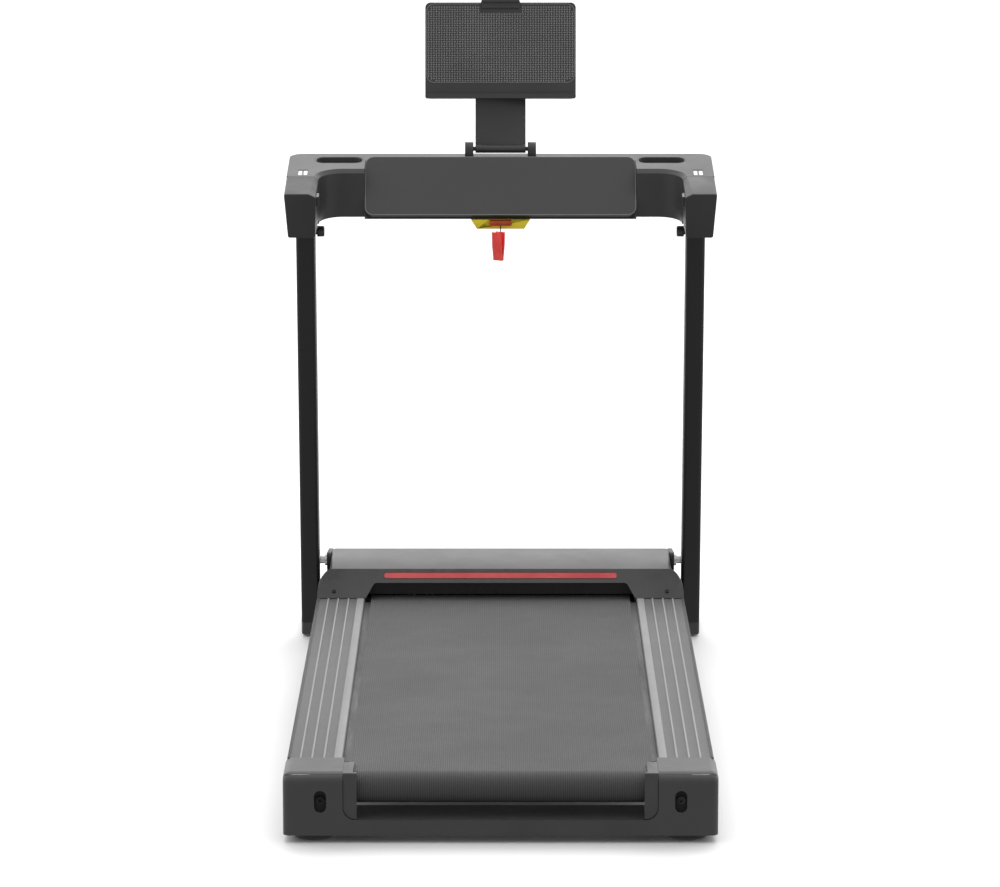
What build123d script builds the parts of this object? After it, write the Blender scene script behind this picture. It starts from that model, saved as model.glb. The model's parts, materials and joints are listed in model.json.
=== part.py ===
from build123d import *
import math
import os

"""Folding treadmill: base and uprights, folding running deck, console, tablet rest, safety key.

Millimetres, +Z up, +X to the runner's right, +Y the way the runner faces.
Lengths along the machine are measured forward from the rear end cap's face, and along() turns
them into Y, so that the origin is the middle of the machine's footprint, on the floor.
"""

os.makedirs("parts", exist_ok=True)

# ---- running belt and rollers
belt_width = 500.0
belt_thickness = 2.2
belt_to_roller = 0.3
roller_radius = 24.0
roller_wall = 2.5
roller_plug = 18.0
roller_span = 1372.0
roller_axis_z = 86.5
rear_roller_y = 40.0
shaft_radius = 8.5
running_fit = 0.05
side_gap = 0.5

# ---- deck frame, board and foot rails
tube_size = 40.0
tube_wall = 2.5
deck_tube_x = 296.0
deck_tube_bottom = 58.0
deck_tube_end_gap = 26.0
rail_gap = 12.0
rail_width = 92.0
rail_top = 118.0
rail_plate = 4.5
rail_ridge = 1.5
board_thickness = 18.0
board_to_belt = 0.3
member_height = 20.0
member_width = 30.0
member_count = 5
cushion_radius = 15.0

# ---- rear end cap
cap_depth = 107.0
cap_overlap = 3.5
cap_bottom = 13.0
cap_wall = 3.5
cap_bar_top = 39.0
cap_shelf = 98.0
cap_round = 21.0
guide_start = 2.0
guide_thickness = 9.0
foot_radius = 36.0
foot_y = 52.0
foot_x = 306.0
bolt_radius = 4.0
bolt_z = 74.0
slot_width = 20.0
slot_height = 37.0

# ---- motor hood and drive
apron_reach = 52.0
ridge_back = 2.0
hood_bottom = 99.0
ridge_z = 165.0
hood_peak_z = 173.0
hood_fall = 15.0
hood_top_half = 332.0
hood_wall = 3.0
pivot_ahead = 144.0
pivot_z = 154.0
nose_reach = 104.0
motor_radius = 42.0
motor_ahead = 133.0
motor_z = 110.0
motor_length = 170.0
pulley_radius = 36.0
motor_pulley_radius = 14.0
drive_belt_thickness = 3.0
flywheel_radius = 44.0
rotor_shaft_radius = 7.5

# ---- uprights, base and folding
lean = 8.55
upright_gap = 2.5
upright_width = 36.0
upright_depth = 60.0
upright_wall = 2.5
upright_foot_z = 8.0
shoe_top = 30.0
shoe_bottom = 3.0
base_bottom = 8.0
base_tube = 28.0
base_reach = 406.0
floor_tube_x = 232.0
pivot_radius = 8.0
fold_angle = 50.0
lock_clear = 30.0
lock_below = 88.0
lock_radius = 5.0
lock_travel = 18.0
plate_thickness = 9.0
wheel_radius = 30.0
wheel_width = 22.0
wheel_ahead = 151.0
wheel_clear = 1.0
axle_radius = 5.0

# ---- console, in its own frame: u runs forward from the grips' ends, v runs up
console_rise = 874.0
console_height = 85.0
console_floor = -5.0
console_wall = 3.0
console_depth = 288.0
console_corner = 26.0
grip_reach = 217.5
grip_width = 60.0
grip_inset = 12.5
grip_seam = 124.0
wing_face = 172.0
wing_round = 45.0
rim_bevel = 7.0
grip_taper = 7.0
display_width = 516.0
display_rise = 92.0
display_run = 80.0
display_foot_u = 148.0
display_foot_v = 3.0
display_thickness = 14.0
fit_gap = 0.4
tray_inset = 48.5
tray_u = 242.0
tray_length = 92.0
tray_width = 46.0
tray_depth = 52.0
tray_wall = 2.5
knob_v = -58.0
knob_radius = 10.5
knob_length = 18.0
rocker_u = 30.0
rocker_v = 66.0
rocker_length = 26.0
rocker_height = 18.0
rocker_depth = 12.0
rocker_proud = 5.0

# ---- tablet rest
hinge_u = 258.0
hinge_v = 103.0
rest_lean = 10.0
pin_radius = 4.0
barrel_radius = 8.0
neck_width = 96.0
neck_thickness = 7.0
rest_width = 288.0
rest_height = 184.0
rest_start = 95.4
rest_thickness = 10.0
clamp_width = 73.0

# ---- safety key, cord and clip
key_width = 42.0
key_height = 8.0
key_v = -12.7
cord_radius = 1.0
clip_turn = 35.0

# ---- worked out from the sizes above
belt_half = belt_width / 2
front_roller_y = rear_roller_y + roller_span
apron_y = front_roller_y - apron_reach
ridge_y = front_roller_y - ridge_back
pivot_y = front_roller_y + pivot_ahead
nose_y = pivot_y + nose_reach
motor_y = front_roller_y + motor_ahead
wheel_y = pivot_y + wheel_ahead
overall_length = wheel_y + wheel_radius
rail_inner = belt_half + rail_gap
rail_outer = rail_inner + rail_width
cap_half = rail_outer + cap_overlap
cap_opening = rail_inner - 3
hood_half = hood_top_half - 354.0 + rail_outer
tube_x = deck_tube_x - 354.0 + rail_outer
tube_inner = tube_x - tube_size / 2
tube_outer = tube_x + tube_size / 2
tube_top = deck_tube_bottom + tube_size
upright_inner = rail_outer + upright_gap
upright_x = upright_inner + upright_width / 2
upright_outer = upright_inner + upright_width
tray_x = upright_inner - tray_inset
lock_ahead = upright_depth / 2 + lock_clear
controller_x = 101 - tube_inner
loop_inner = roller_radius + belt_to_roller
loop_outer = loop_inner + belt_thickness
board_top = roller_axis_z + loop_inner - board_to_belt
board_bottom = board_top - board_thickness
board_half = tube_inner - 8
base_top = base_bottom + base_tube
lean_cos = math.cos(math.radians(lean))
lean_sin = math.sin(math.radians(lean))
foot_face_y = pivot_y - 11
console_y = foot_face_y - grip_reach * lean_cos - console_rise * lean_sin
console_z = upright_foot_z - grip_reach * lean_sin + console_rise * lean_cos
grip_inner = upright_inner - grip_inset
grip_outer = grip_inner + grip_width
upright_u = grip_reach + upright_depth / 2


def along(distance):
    """Y of a place a given distance ahead of the rear end cap's face."""
    return distance - overall_length / 2


def tilted(u, v):
    """Y and Z of a place given in the console's own frame."""
    y = along(console_y) + u * lean_cos - v * lean_sin
    z = console_z + u * lean_sin + v * lean_cos
    return y, z


console_level = Plane(
    origin=(0, along(console_y), console_z), x_dir=(1, 0, 0), z_dir=(0, -lean_sin, lean_cos)
)
console_side = Plane(
    origin=(0, along(console_y), console_z), x_dir=(0, lean_cos, lean_sin), z_dir=(1, 0, 0)
)
section_y, section_z = tilted(console_wall, 0)
console_section = Plane(
    origin=(0, section_y, section_z), x_dir=(1, 0, 0), z_dir=(0, -lean_cos, -lean_sin)
)
console_up = Axis((0, 0, 0), console_level.z_dir)
console_forward = Axis((0, 0, 0), console_side.x_dir)
hinge_y, hinge_z = tilted(hinge_u, hinge_v)
rest_cos = math.cos(math.radians(rest_lean))
rest_sin = math.sin(math.radians(rest_lean))
rest_face = Plane(origin=(0, hinge_y, hinge_z), x_dir=(1, 0, 0), z_dir=(0, -rest_cos, rest_sin))


def write(piece, name):
    """Label a finished piece and write its file."""
    piece.label = name
    export_step(piece, f"parts/{name}.step")


def bar(x, y, z, wall=0.0, run="x"):
    """A straight rectangular bar, or a tube of a given wall that runs along X or Y."""
    middle = ((x[0] + x[1]) / 2, (y[0] + y[1]) / 2, (z[0] + z[1]) / 2)
    if run == "x":
        plane = Plane.YZ.offset(x[0])
        at, size, length = (middle[1], middle[2]), (y[1] - y[0], z[1] - z[0]), x[1] - x[0]
    else:
        plane = Plane.XZ.offset(-y[0])
        at, size, length = (middle[0], middle[2]), (x[1] - x[0], z[1] - z[0]), y[0] - y[1]
    with BuildPart() as piece:
        with BuildSketch(plane):
            with Locations(at):
                Rectangle(*size)
                if wall:
                    Rectangle(size[0] - 2 * wall, size[1] - 2 * wall, mode=Mode.SUBTRACT)
        extrude(amount=length)
    return piece


# ================================================================ rear end cap and belt adjusters
with BuildPart() as rear_cap:
    with BuildSketch(Plane.XY.offset(cap_bottom)):
        with Locations((0, along(cap_depth / 2))):
            Rectangle(2 * cap_half, cap_depth)
    extrude(amount=rail_top - cap_bottom)
    back_top = rear_cap.edges().filter_by(Axis.X).group_by(Axis.Y)[0].sort_by(Axis.Z)[-1]
    fillet(back_top, radius=18)
    fillet(rear_cap.edges().filter_by(Axis.Z).group_by(Axis.Y)[0], radius=12)
    # the gap that the belt runs through, with rounded lower corners
    with BuildSketch(Plane.XZ.offset(-along(-10))):
        with Locations((0, cap_bar_top + 100)):
            RectangleRounded(2 * cap_opening, 200, cap_round)
    extrude(amount=-(cap_depth + 20), mode=Mode.SUBTRACT)
    # a hollow in each block, open to the front
    pocket_low = cap_bottom + cap_wall
    pocket_high = rail_top - cap_wall
    with BuildSketch(Plane.XZ.offset(-along(cap_depth + 1))):
        for side in (-1, 1):
            with Locations((side * (cap_opening + cap_half) / 2, (pocket_low + pocket_high) / 2)):
                Rectangle(cap_half - cap_opening - 2 * cap_wall, pocket_high - pocket_low)
    extrude(amount=cap_depth + 1 - 2 * cap_wall, mode=Mode.SUBTRACT)
    # the low bar is open below, and its shelf stops short of the cap's front
    with BuildSketch(Plane.YZ.offset(-cap_opening + 1)):
        with BuildLine():
            Polyline(
                (along(6), cap_bottom - 1),
                (along(6), cap_bar_top - cap_wall),
                (along(cap_shelf), cap_bar_top - cap_wall),
                (along(cap_shelf), cap_bar_top + 25),
                (along(cap_depth + 1), cap_bar_top + 25),
                (along(cap_depth + 1), cap_bottom - 1),
                close=True,
            )
        make_face()
    extrude(amount=2 * cap_opening - 2, mode=Mode.SUBTRACT)
    # slots for the adjuster bolts, in the rear wall
    with BuildSketch(Plane.XZ.offset(-along(-1))):
        for side in (-1, 1):
            with Locations((side * tube_x, bolt_z - 4)):
                SlotOverall(slot_height, slot_width, rotation=90)
    extrude(amount=-(2 * cap_wall + 2), mode=Mode.SUBTRACT)
    # windows for the roller's shaft, in the walls beside the belt
    for side in (-1, 1):
        with BuildSketch(Plane.YZ.offset(side * (cap_opening + cap_wall / 2))):
            with Locations((along(rear_roller_y), roller_axis_z)):
                SlotOverall(2 * shaft_radius + 9, 2 * shaft_radius + 3)
        extrude(amount=2 * cap_wall, both=True, mode=Mode.SUBTRACT)
    # holes for the studs of the feet
    with BuildSketch(Plane.XY.offset(cap_bottom - 1)):
        for side in (-1, 1):
            with Locations((side * foot_x, along(foot_y))):
                Circle(6.3)
    extrude(amount=cap_wall + 2, mode=Mode.SUBTRACT)
write(rear_cap.part, "rear_cap")

with BuildPart() as belt_guides:
    with BuildSketch(Plane.XZ.offset(-along(guide_start))):
        with BuildLine():
            Polyline(
                (belt_half + 2.5, roller_axis_z + shaft_radius + 2),
                (belt_half + 2.5, roller_axis_z + loop_outer + 0.8),
                (belt_half - 8.5, roller_axis_z + loop_outer + 0.8),
                (belt_half - 8.5, rail_top),
                (cap_opening, rail_top),
                (cap_opening, roller_axis_z + shaft_radius + 2),
                close=True,
            )
        make_face()
    extrude(amount=guide_start - 80)
    # fin that hides the roller's end from behind
    with BuildSketch(Plane.XZ.offset(-along(guide_start))):
        with BuildLine():
            fin = Polyline(
                (belt_half - 14, rail_top),
                (cap_opening, rail_top),
                (cap_opening, cap_bar_top + 0.3),
                (belt_half - 14, cap_bar_top + 0.3),
                close=True,
            )
        make_face()
        fillet(fin.vertices().group_by(Axis.Y)[0].sort_by(Axis.X)[-1], radius=cap_round + 0.5)
    extrude(amount=-guide_thickness)
    fillet(belt_guides.edges().filter_by(Axis.X).group_by(Axis.Z)[-1], radius=2.5)
    mirror(about=Plane.YZ)
write(belt_guides.part, "belt_guides")

with BuildPart() as rear_feet:
    with BuildSketch(Plane.XY):
        with Locations((-foot_x, along(foot_y)), (foot_x, along(foot_y))):
            Circle(foot_radius)
    extrude(amount=cap_bottom - 0.2)
    fillet(rear_feet.edges().group_by(Axis.Z)[0], radius=3)
    with BuildSketch(Plane.XY.offset(cap_bottom - 0.2)):
        with Locations((-foot_x, along(foot_y)), (foot_x, along(foot_y))):
            Circle(6)
    extrude(amount=20)
write(rear_feet.part, "rear_feet")

adjuster_front = rear_roller_y + 14
tube_start = adjuster_front + 12
with BuildPart() as adjuster_blocks:
    with BuildSketch(Plane.YZ.offset(tube_x - 10)):
        with Locations((along(rear_roller_y), (bolt_z + roller_axis_z) / 2 + 2)):
            Rectangle(28, roller_axis_z - bolt_z + 26)
    extrude(amount=20)
    with BuildSketch(Plane.YZ.offset(tube_x - 11)):
        with Locations((along(rear_roller_y), roller_axis_z)):
            Circle(shaft_radius + 0.05)
    extrude(amount=22, mode=Mode.SUBTRACT)
    with BuildSketch(Plane.XZ.offset(-along(rear_roller_y - 15))):
        with Locations((tube_x, bolt_z - 3)):
            Circle(bolt_radius + 0.05)
    extrude(amount=-30, mode=Mode.SUBTRACT)
    mirror(about=Plane.YZ)
write(adjuster_blocks.part, "adjuster_blocks")

with BuildPart() as adjuster_bolts:
    with BuildSketch(Plane.XZ.offset(-along(cap_wall + 1))):
        with Locations((tube_x, bolt_z - 3)):
            Circle(7)
            RegularPolygon(3.2, 6, mode=Mode.SUBTRACT)
    extrude(amount=-6)
    with BuildSketch(Plane.XZ.offset(-along(cap_wall + 5))):
        with Locations((tube_x, bolt_z - 3)):
            Circle(bolt_radius)
    extrude(amount=-(tube_start + 24 - cap_wall))
    mirror(about=Plane.YZ)
write(adjuster_bolts.part, "adjuster_bolts")

# ================================================================ rollers, shafts and running belt


def roller(at):
    """A hollow roller with a plug at each end, bored for its shaft."""
    with BuildPart() as piece:
        with BuildSketch(Plane.XZ.offset(-along(at))):
            with BuildLine():
                Polyline(
                    (-belt_half, roller_axis_z + shaft_radius + running_fit),
                    (-belt_half, roller_axis_z + roller_radius),
                    (belt_half, roller_axis_z + roller_radius),
                    (belt_half, roller_axis_z + shaft_radius + running_fit),
                    (belt_half - roller_plug, roller_axis_z + shaft_radius + running_fit),
                    (belt_half - roller_plug, roller_axis_z + roller_radius - roller_wall),
                    (-belt_half + roller_plug, roller_axis_z + roller_radius - roller_wall),
                    (-belt_half + roller_plug, roller_axis_z + shaft_radius + running_fit),
                    close=True,
                )
            make_face()
        axis = Axis((0, along(at), roller_axis_z), (1, 0, 0))
        revolve(axis=axis, revolution_arc=360)
    return piece


rear_roller = roller(rear_roller_y)
write(rear_roller.part, "rear_roller")

pulley_x = tube_inner - 11
pulley_half = 5.0
with BuildPart() as front_roller:
    add(roller(front_roller_y).part)
    with BuildSketch(Plane.YZ.offset(belt_half)):
        with Locations((along(front_roller_y), roller_axis_z)):
            Circle(shaft_radius + 5)
            Circle(shaft_radius + running_fit, mode=Mode.SUBTRACT)
    extrude(amount=pulley_x + pulley_half - belt_half)
    with BuildSketch(Plane.YZ.offset(pulley_x - pulley_half)):
        with Locations((along(front_roller_y), roller_axis_z)):
            Circle(pulley_radius)
            Circle(shaft_radius + running_fit, mode=Mode.SUBTRACT)
    extrude(amount=2 * pulley_half)
write(front_roller.part, "front_roller")

with BuildPart() as roller_shafts:
    for at, reach in ((rear_roller_y, tube_x + 10), (front_roller_y, tube_outer)):
        with BuildSketch(Plane.YZ.offset(-reach)):
            with Locations((along(at), roller_axis_z)):
                Circle(shaft_radius)
        extrude(amount=2 * reach)
write(roller_shafts.part, "roller_shafts")

with BuildPart() as running_belt:
    with BuildSketch(Plane.YZ.offset(-belt_half)):
        with Locations((along((rear_roller_y + front_roller_y) / 2), roller_axis_z)):
            SlotCenterToCenter(roller_span, 2 * loop_outer)
            SlotCenterToCenter(roller_span, 2 * loop_inner, mode=Mode.SUBTRACT)
    extrude(amount=belt_width)
write(running_belt.part, "running_belt")

# ================================================================ deck frame
tube_end = pivot_y + 32
with BuildPart() as right_deck_tube:
    add(
        bar(
            (tube_inner, tube_outer),
            (along(tube_start), along(tube_end)),
            (deck_tube_bottom, tube_top),
            wall=tube_wall,
            run="y",
        ).part
    )
    # rear end plate, tapped for the adjuster bolt
    with BuildSketch(Plane.XZ.offset(-along(tube_start))):
        with Locations((tube_x, deck_tube_bottom + tube_size / 2)):
            Rectangle(tube_size - 1, tube_size - 1)
        with Locations((tube_x, bolt_z - 3)):
            Circle(bolt_radius + 0.05, mode=Mode.SUBTRACT)
    extrude(amount=-4)
    with BuildSketch(Plane.YZ.offset(tube_inner - 1)):
        with Locations((along(front_roller_y), roller_axis_z)):
            Circle(shaft_radius + 0.05)
    extrude(amount=tube_size + 2, mode=Mode.SUBTRACT)
write(right_deck_tube.part, "right_deck_tube")
write(mirror(right_deck_tube.part, about=Plane.YZ), "left_deck_tube")

member_low = roller_axis_z - member_height / 2 - 8.5
member_high = board_bottom - 4.5
member_first = cap_depth + 43
member_pitch = (apron_y - 90 - member_first) / (member_count - 1)
member_places = [member_first + member_pitch * i for i in range(member_count)]
with BuildPart() as deck_cross_members:
    for place in member_places:
        with BuildSketch(Plane.YZ.offset(-tube_inner)):
            with Locations((along(place), (member_low + member_high) / 2)):
                Rectangle(member_width, member_high - member_low)
                Rectangle(
                    member_width - 2 * tube_wall,
                    member_high - member_low - 2 * tube_wall,
                    mode=Mode.SUBTRACT,
                )
        extrude(amount=2 * tube_inner)
write(deck_cross_members.part, "deck_cross_members")

with BuildPart() as deck_cushions:
    with BuildSketch(Plane.XY.offset(member_high)):
        for place in member_places:
            with Locations((-belt_half * 0.8, along(place)), (belt_half * 0.8, along(place))):
                Circle(cushion_radius)
    extrude(amount=board_bottom - member_high)
write(deck_cushions.part, "deck_cushions")

with BuildPart() as deck_board:
    with BuildSketch(Plane.XY.offset(board_bottom)):
        with Locations((0, along((cap_depth + 3 + apron_y - 4) / 2))):
            Rectangle(2 * board_half, apron_y - 4 - cap_depth - 3)
    extrude(amount=board_thickness)
write(deck_board.part, "deck_board")

with BuildPart() as right_foot_rail:
    plate_low = rail_top - rail_ridge - rail_plate
    with BuildSketch(Plane.XZ.offset(-along(cap_depth))):
        with Locations((rail_inner + rail_width / 2, plate_low + rail_plate / 2)):
            Rectangle(rail_width, rail_plate)
        # outer skirt, and the webs that stand on the frame tube
        with Locations((rail_outer - 2, (plate_low + 70) / 2)):
            Rectangle(4, plate_low - 70 + 0.2)
        for web in (tube_x - 13, tube_x + 13):
            with Locations((web, (plate_low + tube_top) / 2)):
                Rectangle(3, plate_low - tube_top)
        # smooth inner band, three treads and the outer bead
        tread = plate_low + rail_plate + rail_ridge / 2 - 0.1
        with Locations((rail_inner + 8, tread - 0.2)):
            Rectangle(13, rail_ridge - 0.2)
        for ridge in (31, 51, 70):
            with Locations((rail_inner + ridge, tread)):
                Rectangle(3, rail_ridge + 0.2)
        with Locations((rail_outer - 2.5, tread)):
            Rectangle(5, rail_ridge + 0.2)
    extrude(amount=-(apron_y - cap_depth))
write(right_foot_rail.part, "right_foot_rail")
write(mirror(right_foot_rail.part, about=Plane.YZ), "left_foot_rail")

# ================================================================ motor hood, apron and drive


def from_side(points, half):
    """A solid with an outline of (distance, Z) points, reaching half its width to each side."""
    with BuildPart() as solid:
        with BuildSketch(Plane.YZ.offset(-half)):
            with BuildLine():
                Polyline(*[(along(y), z) for y, z in points], close=True)
            make_face()
        extrude(amount=2 * half)
    return solid.part


slope = (ridge_z - rail_top) / (ridge_y - apron_y)
with BuildPart() as hood_apron:
    add(
        from_side(
            [(apron_y, hood_bottom), (apron_y, rail_top), (ridge_y, ridge_z), (ridge_y, hood_bottom)],
            rail_outer,
        )
    )
    # the sides flare from the hood's width down to the rails' width
    with BuildSketch(Plane.XZ.offset(-along(apron_y - 1))):
        with BuildLine():
            Line((-rail_outer, hood_bottom), (rail_outer, hood_bottom))
            Line((rail_outer, hood_bottom), (rail_outer, rail_top))
            ThreePointArc(
                (rail_outer, rail_top),
                (rail_outer - 6, (rail_top + ridge_z) / 2 + 6),
                (hood_half, ridge_z + 0.1),
            )
            Line((hood_half, ridge_z + 0.1), (-hood_half, ridge_z + 0.1))
            ThreePointArc(
                (-hood_half, ridge_z + 0.1),
                (-rail_outer + 6, (rail_top + ridge_z) / 2 + 6),
                (-rail_outer, rail_top),
            )
            Line((-rail_outer, rail_top), (-rail_outer, hood_bottom))
        make_face()
    extrude(amount=-(ridge_y - apron_y + 2), mode=Mode.INTERSECT)
    # hollow behind the sloping face
    inset = hood_wall * 1.4
    add(
        from_side(
            [
                (apron_y + hood_wall, hood_bottom - 1),
                (apron_y + hood_wall, rail_top - inset / 2),
                (ridge_y + 1, ridge_z - inset + slope),
                (ridge_y + 1, hood_bottom - 1),
            ],
            hood_half - hood_wall,
        ),
        mode=Mode.SUBTRACT,
    )
    # the notch that the belt runs under
    with BuildSketch(Plane.XZ.offset(-along(apron_y - 1))):
        with BuildLine():
            notch = Polyline(
                (-rail_inner + 2, hood_bottom - 5),
                (-rail_inner + 2, rail_top),
                (-rail_inner + 18, rail_top + 24.5),
                (rail_inner - 18, rail_top + 24.5),
                (rail_inner - 2, rail_top),
                (rail_inner - 2, hood_bottom - 5),
                close=True,
            )
        make_face()
        fillet(notch.vertices().group_by(Axis.Y)[-1], radius=9)
    extrude(amount=-(ridge_y - apron_y + 0.5), mode=Mode.SUBTRACT)
    # the slot that the accent strip lies in
    strip_low, strip_high = ridge_z - 15.0, ridge_z - 6.0
    with BuildSketch(Plane.XZ.offset(-along(apron_y - 1))):
        with Locations((0, (strip_low + strip_high) / 2)):
            SlotOverall(belt_width * 0.9 + 0.6, strip_high - strip_low + 0.6)
    extrude(amount=-(ridge_y - apron_y + 0.5), mode=Mode.SUBTRACT)
    # baffle above the belt, which keeps fingers out of the motor bay
    with BuildSketch(Plane.XZ.offset(-along(ridge_y - hood_wall))):
        with Locations((0, (rail_top - 2 + ridge_z - 4) / 2)):
            Rectangle(2 * belt_half + 10, ridge_z - 4 - (rail_top - 2))
    extrude(amount=-hood_wall)
write(hood_apron.part, "hood_apron")

with BuildPart() as accent_strip:
    lift = 0.8
    add(
        from_side(
            [
                (apron_y + (strip_low - rail_top) / slope - lift, strip_low + 0.3),
                (apron_y + (strip_high - rail_top) / slope - lift, strip_high - 0.3),
                (apron_y + (strip_high - rail_top) / slope + 3, strip_high - 0.3),
                (apron_y + (strip_low - rail_top) / slope + 3, strip_low + 0.3),
            ],
            belt_width * 0.45,
        )
    )
    with BuildSketch(Plane.XZ.offset(-along(apron_y - 1))):
        with Locations((0, (strip_low + strip_high) / 2)):
            SlotOverall(belt_width * 0.9, strip_high - strip_low)
    extrude(amount=-(ridge_y - apron_y + 8), mode=Mode.INTERSECT)
write(accent_strip.part, "accent_strip")

peak_y = ridge_y + 160
panel_x = (-230.0, -130.0)
panel_z = (116.0, 146.0)
with BuildPart() as motor_hood:
    add(
        from_side(
            [
                (ridge_y + 0.3, hood_bottom),
                (ridge_y + 0.3, ridge_z),
                (peak_y, hood_peak_z),
                (nose_y - 24, hood_peak_z - hood_fall),
                (nose_y, pivot_z - 7),
                (nose_y, pivot_z - 42),
                (nose_y - 10, hood_bottom),
            ],
            hood_half,
        )
    )
    top_edges = motor_hood.edges().filter_by(lambda e: abs(e.center().X) > hood_half - 1)
    fillet(top_edges.filter_by(lambda e: e.center().Z > ridge_z), radius=7)
    add(
        from_side(
            [
                (ridge_y - 1, hood_bottom - 1),
                (ridge_y - 1, ridge_z - hood_wall),
                (peak_y, hood_peak_z - hood_wall),
                (nose_y - 26, hood_peak_z - hood_fall - hood_wall),
                (nose_y - hood_wall, pivot_z - 9),
                (nose_y - hood_wall, pivot_z - 44),
                (nose_y - 12, hood_bottom - 1),
            ],
            hood_half - hood_wall,
        ),
        mode=Mode.SUBTRACT,
    )
    with BuildSketch(Plane.XZ.offset(-along(nose_y - 8))):
        with Locations((sum(panel_x) / 2, sum(panel_z) / 2)):
            Rectangle(panel_x[1] - panel_x[0] + 0.6, panel_z[1] - panel_z[0] + 0.6)
    extrude(amount=-10, mode=Mode.SUBTRACT)
write(motor_hood.part, "motor_hood")

switch_x = -170.0
inlet_x = -204.0
button_x = -144.0
panel_mid = sum(panel_z) / 2
with BuildPart() as power_inlet:
    with BuildSketch(Plane.XZ.offset(-along(nose_y - 6))):
        with Locations((sum(panel_x) / 2, panel_mid)):
            Rectangle(panel_x[1] - panel_x[0], panel_z[1] - panel_z[0])
    extrude(amount=-6)
    with BuildSketch(Plane.XZ.offset(-along(nose_y - 24))):
        with Locations((inlet_x, panel_mid)):
            RectangleRounded(32, 24, 3)
    extrude(amount=-22)
    # socket with its three pins
    with BuildSketch(Plane.XZ.offset(-along(nose_y - 18))):
        with Locations((inlet_x, panel_mid)):
            RectangleRounded(26, 18, 3)
        with Locations(*[(inlet_x + x, panel_mid + z) for x, z in ((-7, -2), (7, -2), (0, 4))]):
            Rectangle(2, 5, mode=Mode.SUBTRACT)
    extrude(amount=-20, mode=Mode.SUBTRACT)
    with BuildSketch(Plane.XZ.offset(-along(nose_y - 8))):
        with Locations((switch_x, panel_mid)):
            Rectangle(16, 24)
        with Locations((button_x, panel_mid)):
            Circle(6.5)
    extrude(amount=-10, mode=Mode.SUBTRACT)
write(power_inlet.part, "power_inlet")

switch_axis_y = nose_y - 5
with BuildPart() as power_switch:
    with BuildSketch(Plane.YZ.offset(switch_x - 7)):
        with BuildLine():
            Polyline(
                (along(switch_axis_y - 3), panel_mid - 8),
                (along(switch_axis_y + 5), panel_mid - 10),
                (along(switch_axis_y + 5.5), panel_mid),
                (along(switch_axis_y + 7.5), panel_mid + 10),
                (along(switch_axis_y - 3), panel_mid + 8),
                close=True,
            )
        make_face()
    extrude(amount=14)
write(power_switch.part, "power_switch")

with BuildPart() as reset_button:
    with BuildSketch(Plane.XZ.offset(-along(nose_y - 12))):
        with Locations((button_x, panel_mid)):
            Circle(6)
    extrude(amount=-16)
write(reset_button.part, "reset_button")

pan_half = tube_inner - 1
pan_bottom = deck_tube_bottom + 2
with BuildPart() as bottom_pan:
    pan_start = front_roller_y + 44
    add(
        from_side(
            [
                (pan_start, hood_bottom - 1),
                (pan_start, pan_bottom),
                (pivot_y + 34, pan_bottom),
                (nose_y - 14, hood_bottom - 1),
            ],
            pan_half,
        )
    )
    add(
        from_side(
            [
                (pan_start + 2.5, hood_bottom),
                (pan_start + 2.5, pan_bottom + 2.5),
                (pivot_y + 33, pan_bottom + 2.5),
                (nose_y - 17, hood_bottom),
            ],
            pan_half - 2.5,
        ),
        mode=Mode.SUBTRACT,
    )
    # slot that the drive belt runs through
    with BuildSketch(Plane.XY.offset(pan_bottom - 1)):
        with Locations((pulley_x, along((pan_start + motor_y) / 2))):
            Rectangle(2 * pulley_half + 5, motor_y - pan_start + 2)
    extrude(amount=hood_bottom - pan_bottom, mode=Mode.SUBTRACT)
write(bottom_pan.part, "bottom_pan")

can_end = 110.0
with BuildPart() as drive_motor:
    with BuildSketch(Plane.YZ.offset(can_end - motor_length)):
        with Locations((along(motor_y), motor_z)):
            Circle(motor_radius)
            Circle(rotor_shaft_radius + running_fit, mode=Mode.SUBTRACT)
    extrude(amount=motor_length)
    chamfer(drive_motor.edges().filter_by(GeomType.CIRCLE).group_by(SortBy.RADIUS)[-1], 4)
    with BuildSketch(Plane.XY.offset(pan_bottom + 2.5)):
        with Locations((can_end - motor_length / 2, along(motor_y))):
            Rectangle(motor_length - 40, 2 * motor_radius - 20)
    extrude(amount=motor_z - motor_radius + 6 - pan_bottom)
write(drive_motor.part, "drive_motor")

flywheel_x = (can_end + 60.0, can_end + 80.0)
with BuildPart() as motor_rotor:
    with BuildSketch(Plane.YZ.offset(can_end - motor_length - 15)):
        with Locations((along(motor_y), motor_z)):
            Circle(rotor_shaft_radius)
    extrude(amount=motor_length + 15 + pulley_x + pulley_half - can_end)
    for x, length, radius in (
        (flywheel_x[0], flywheel_x[1] - flywheel_x[0], flywheel_radius),
        (pulley_x - pulley_half, 2 * pulley_half, motor_pulley_radius),
    ):
        with BuildSketch(Plane.YZ.offset(x)):
            with Locations((along(motor_y), motor_z)):
                Circle(radius)
        extrude(amount=length)
write(motor_rotor.part, "motor_rotor")

with BuildPart() as drive_belt:
    wheels = ((front_roller_y, roller_axis_z, pulley_radius), (motor_y, motor_z, motor_pulley_radius))
    for extra, mode in ((drive_belt_thickness + belt_to_roller, Mode.ADD), (belt_to_roller, Mode.SUBTRACT)):
        with BuildSketch(Plane.YZ.offset(pulley_x - pulley_half)):
            with BuildLine():
                for y, z, radius in wheels:
                    CenterArc((along(y), z), radius + extra, 0, 360)
            make_hull()
        extrude(amount=2 * pulley_half, mode=mode)
write(drive_belt.part, "drive_belt")

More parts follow.
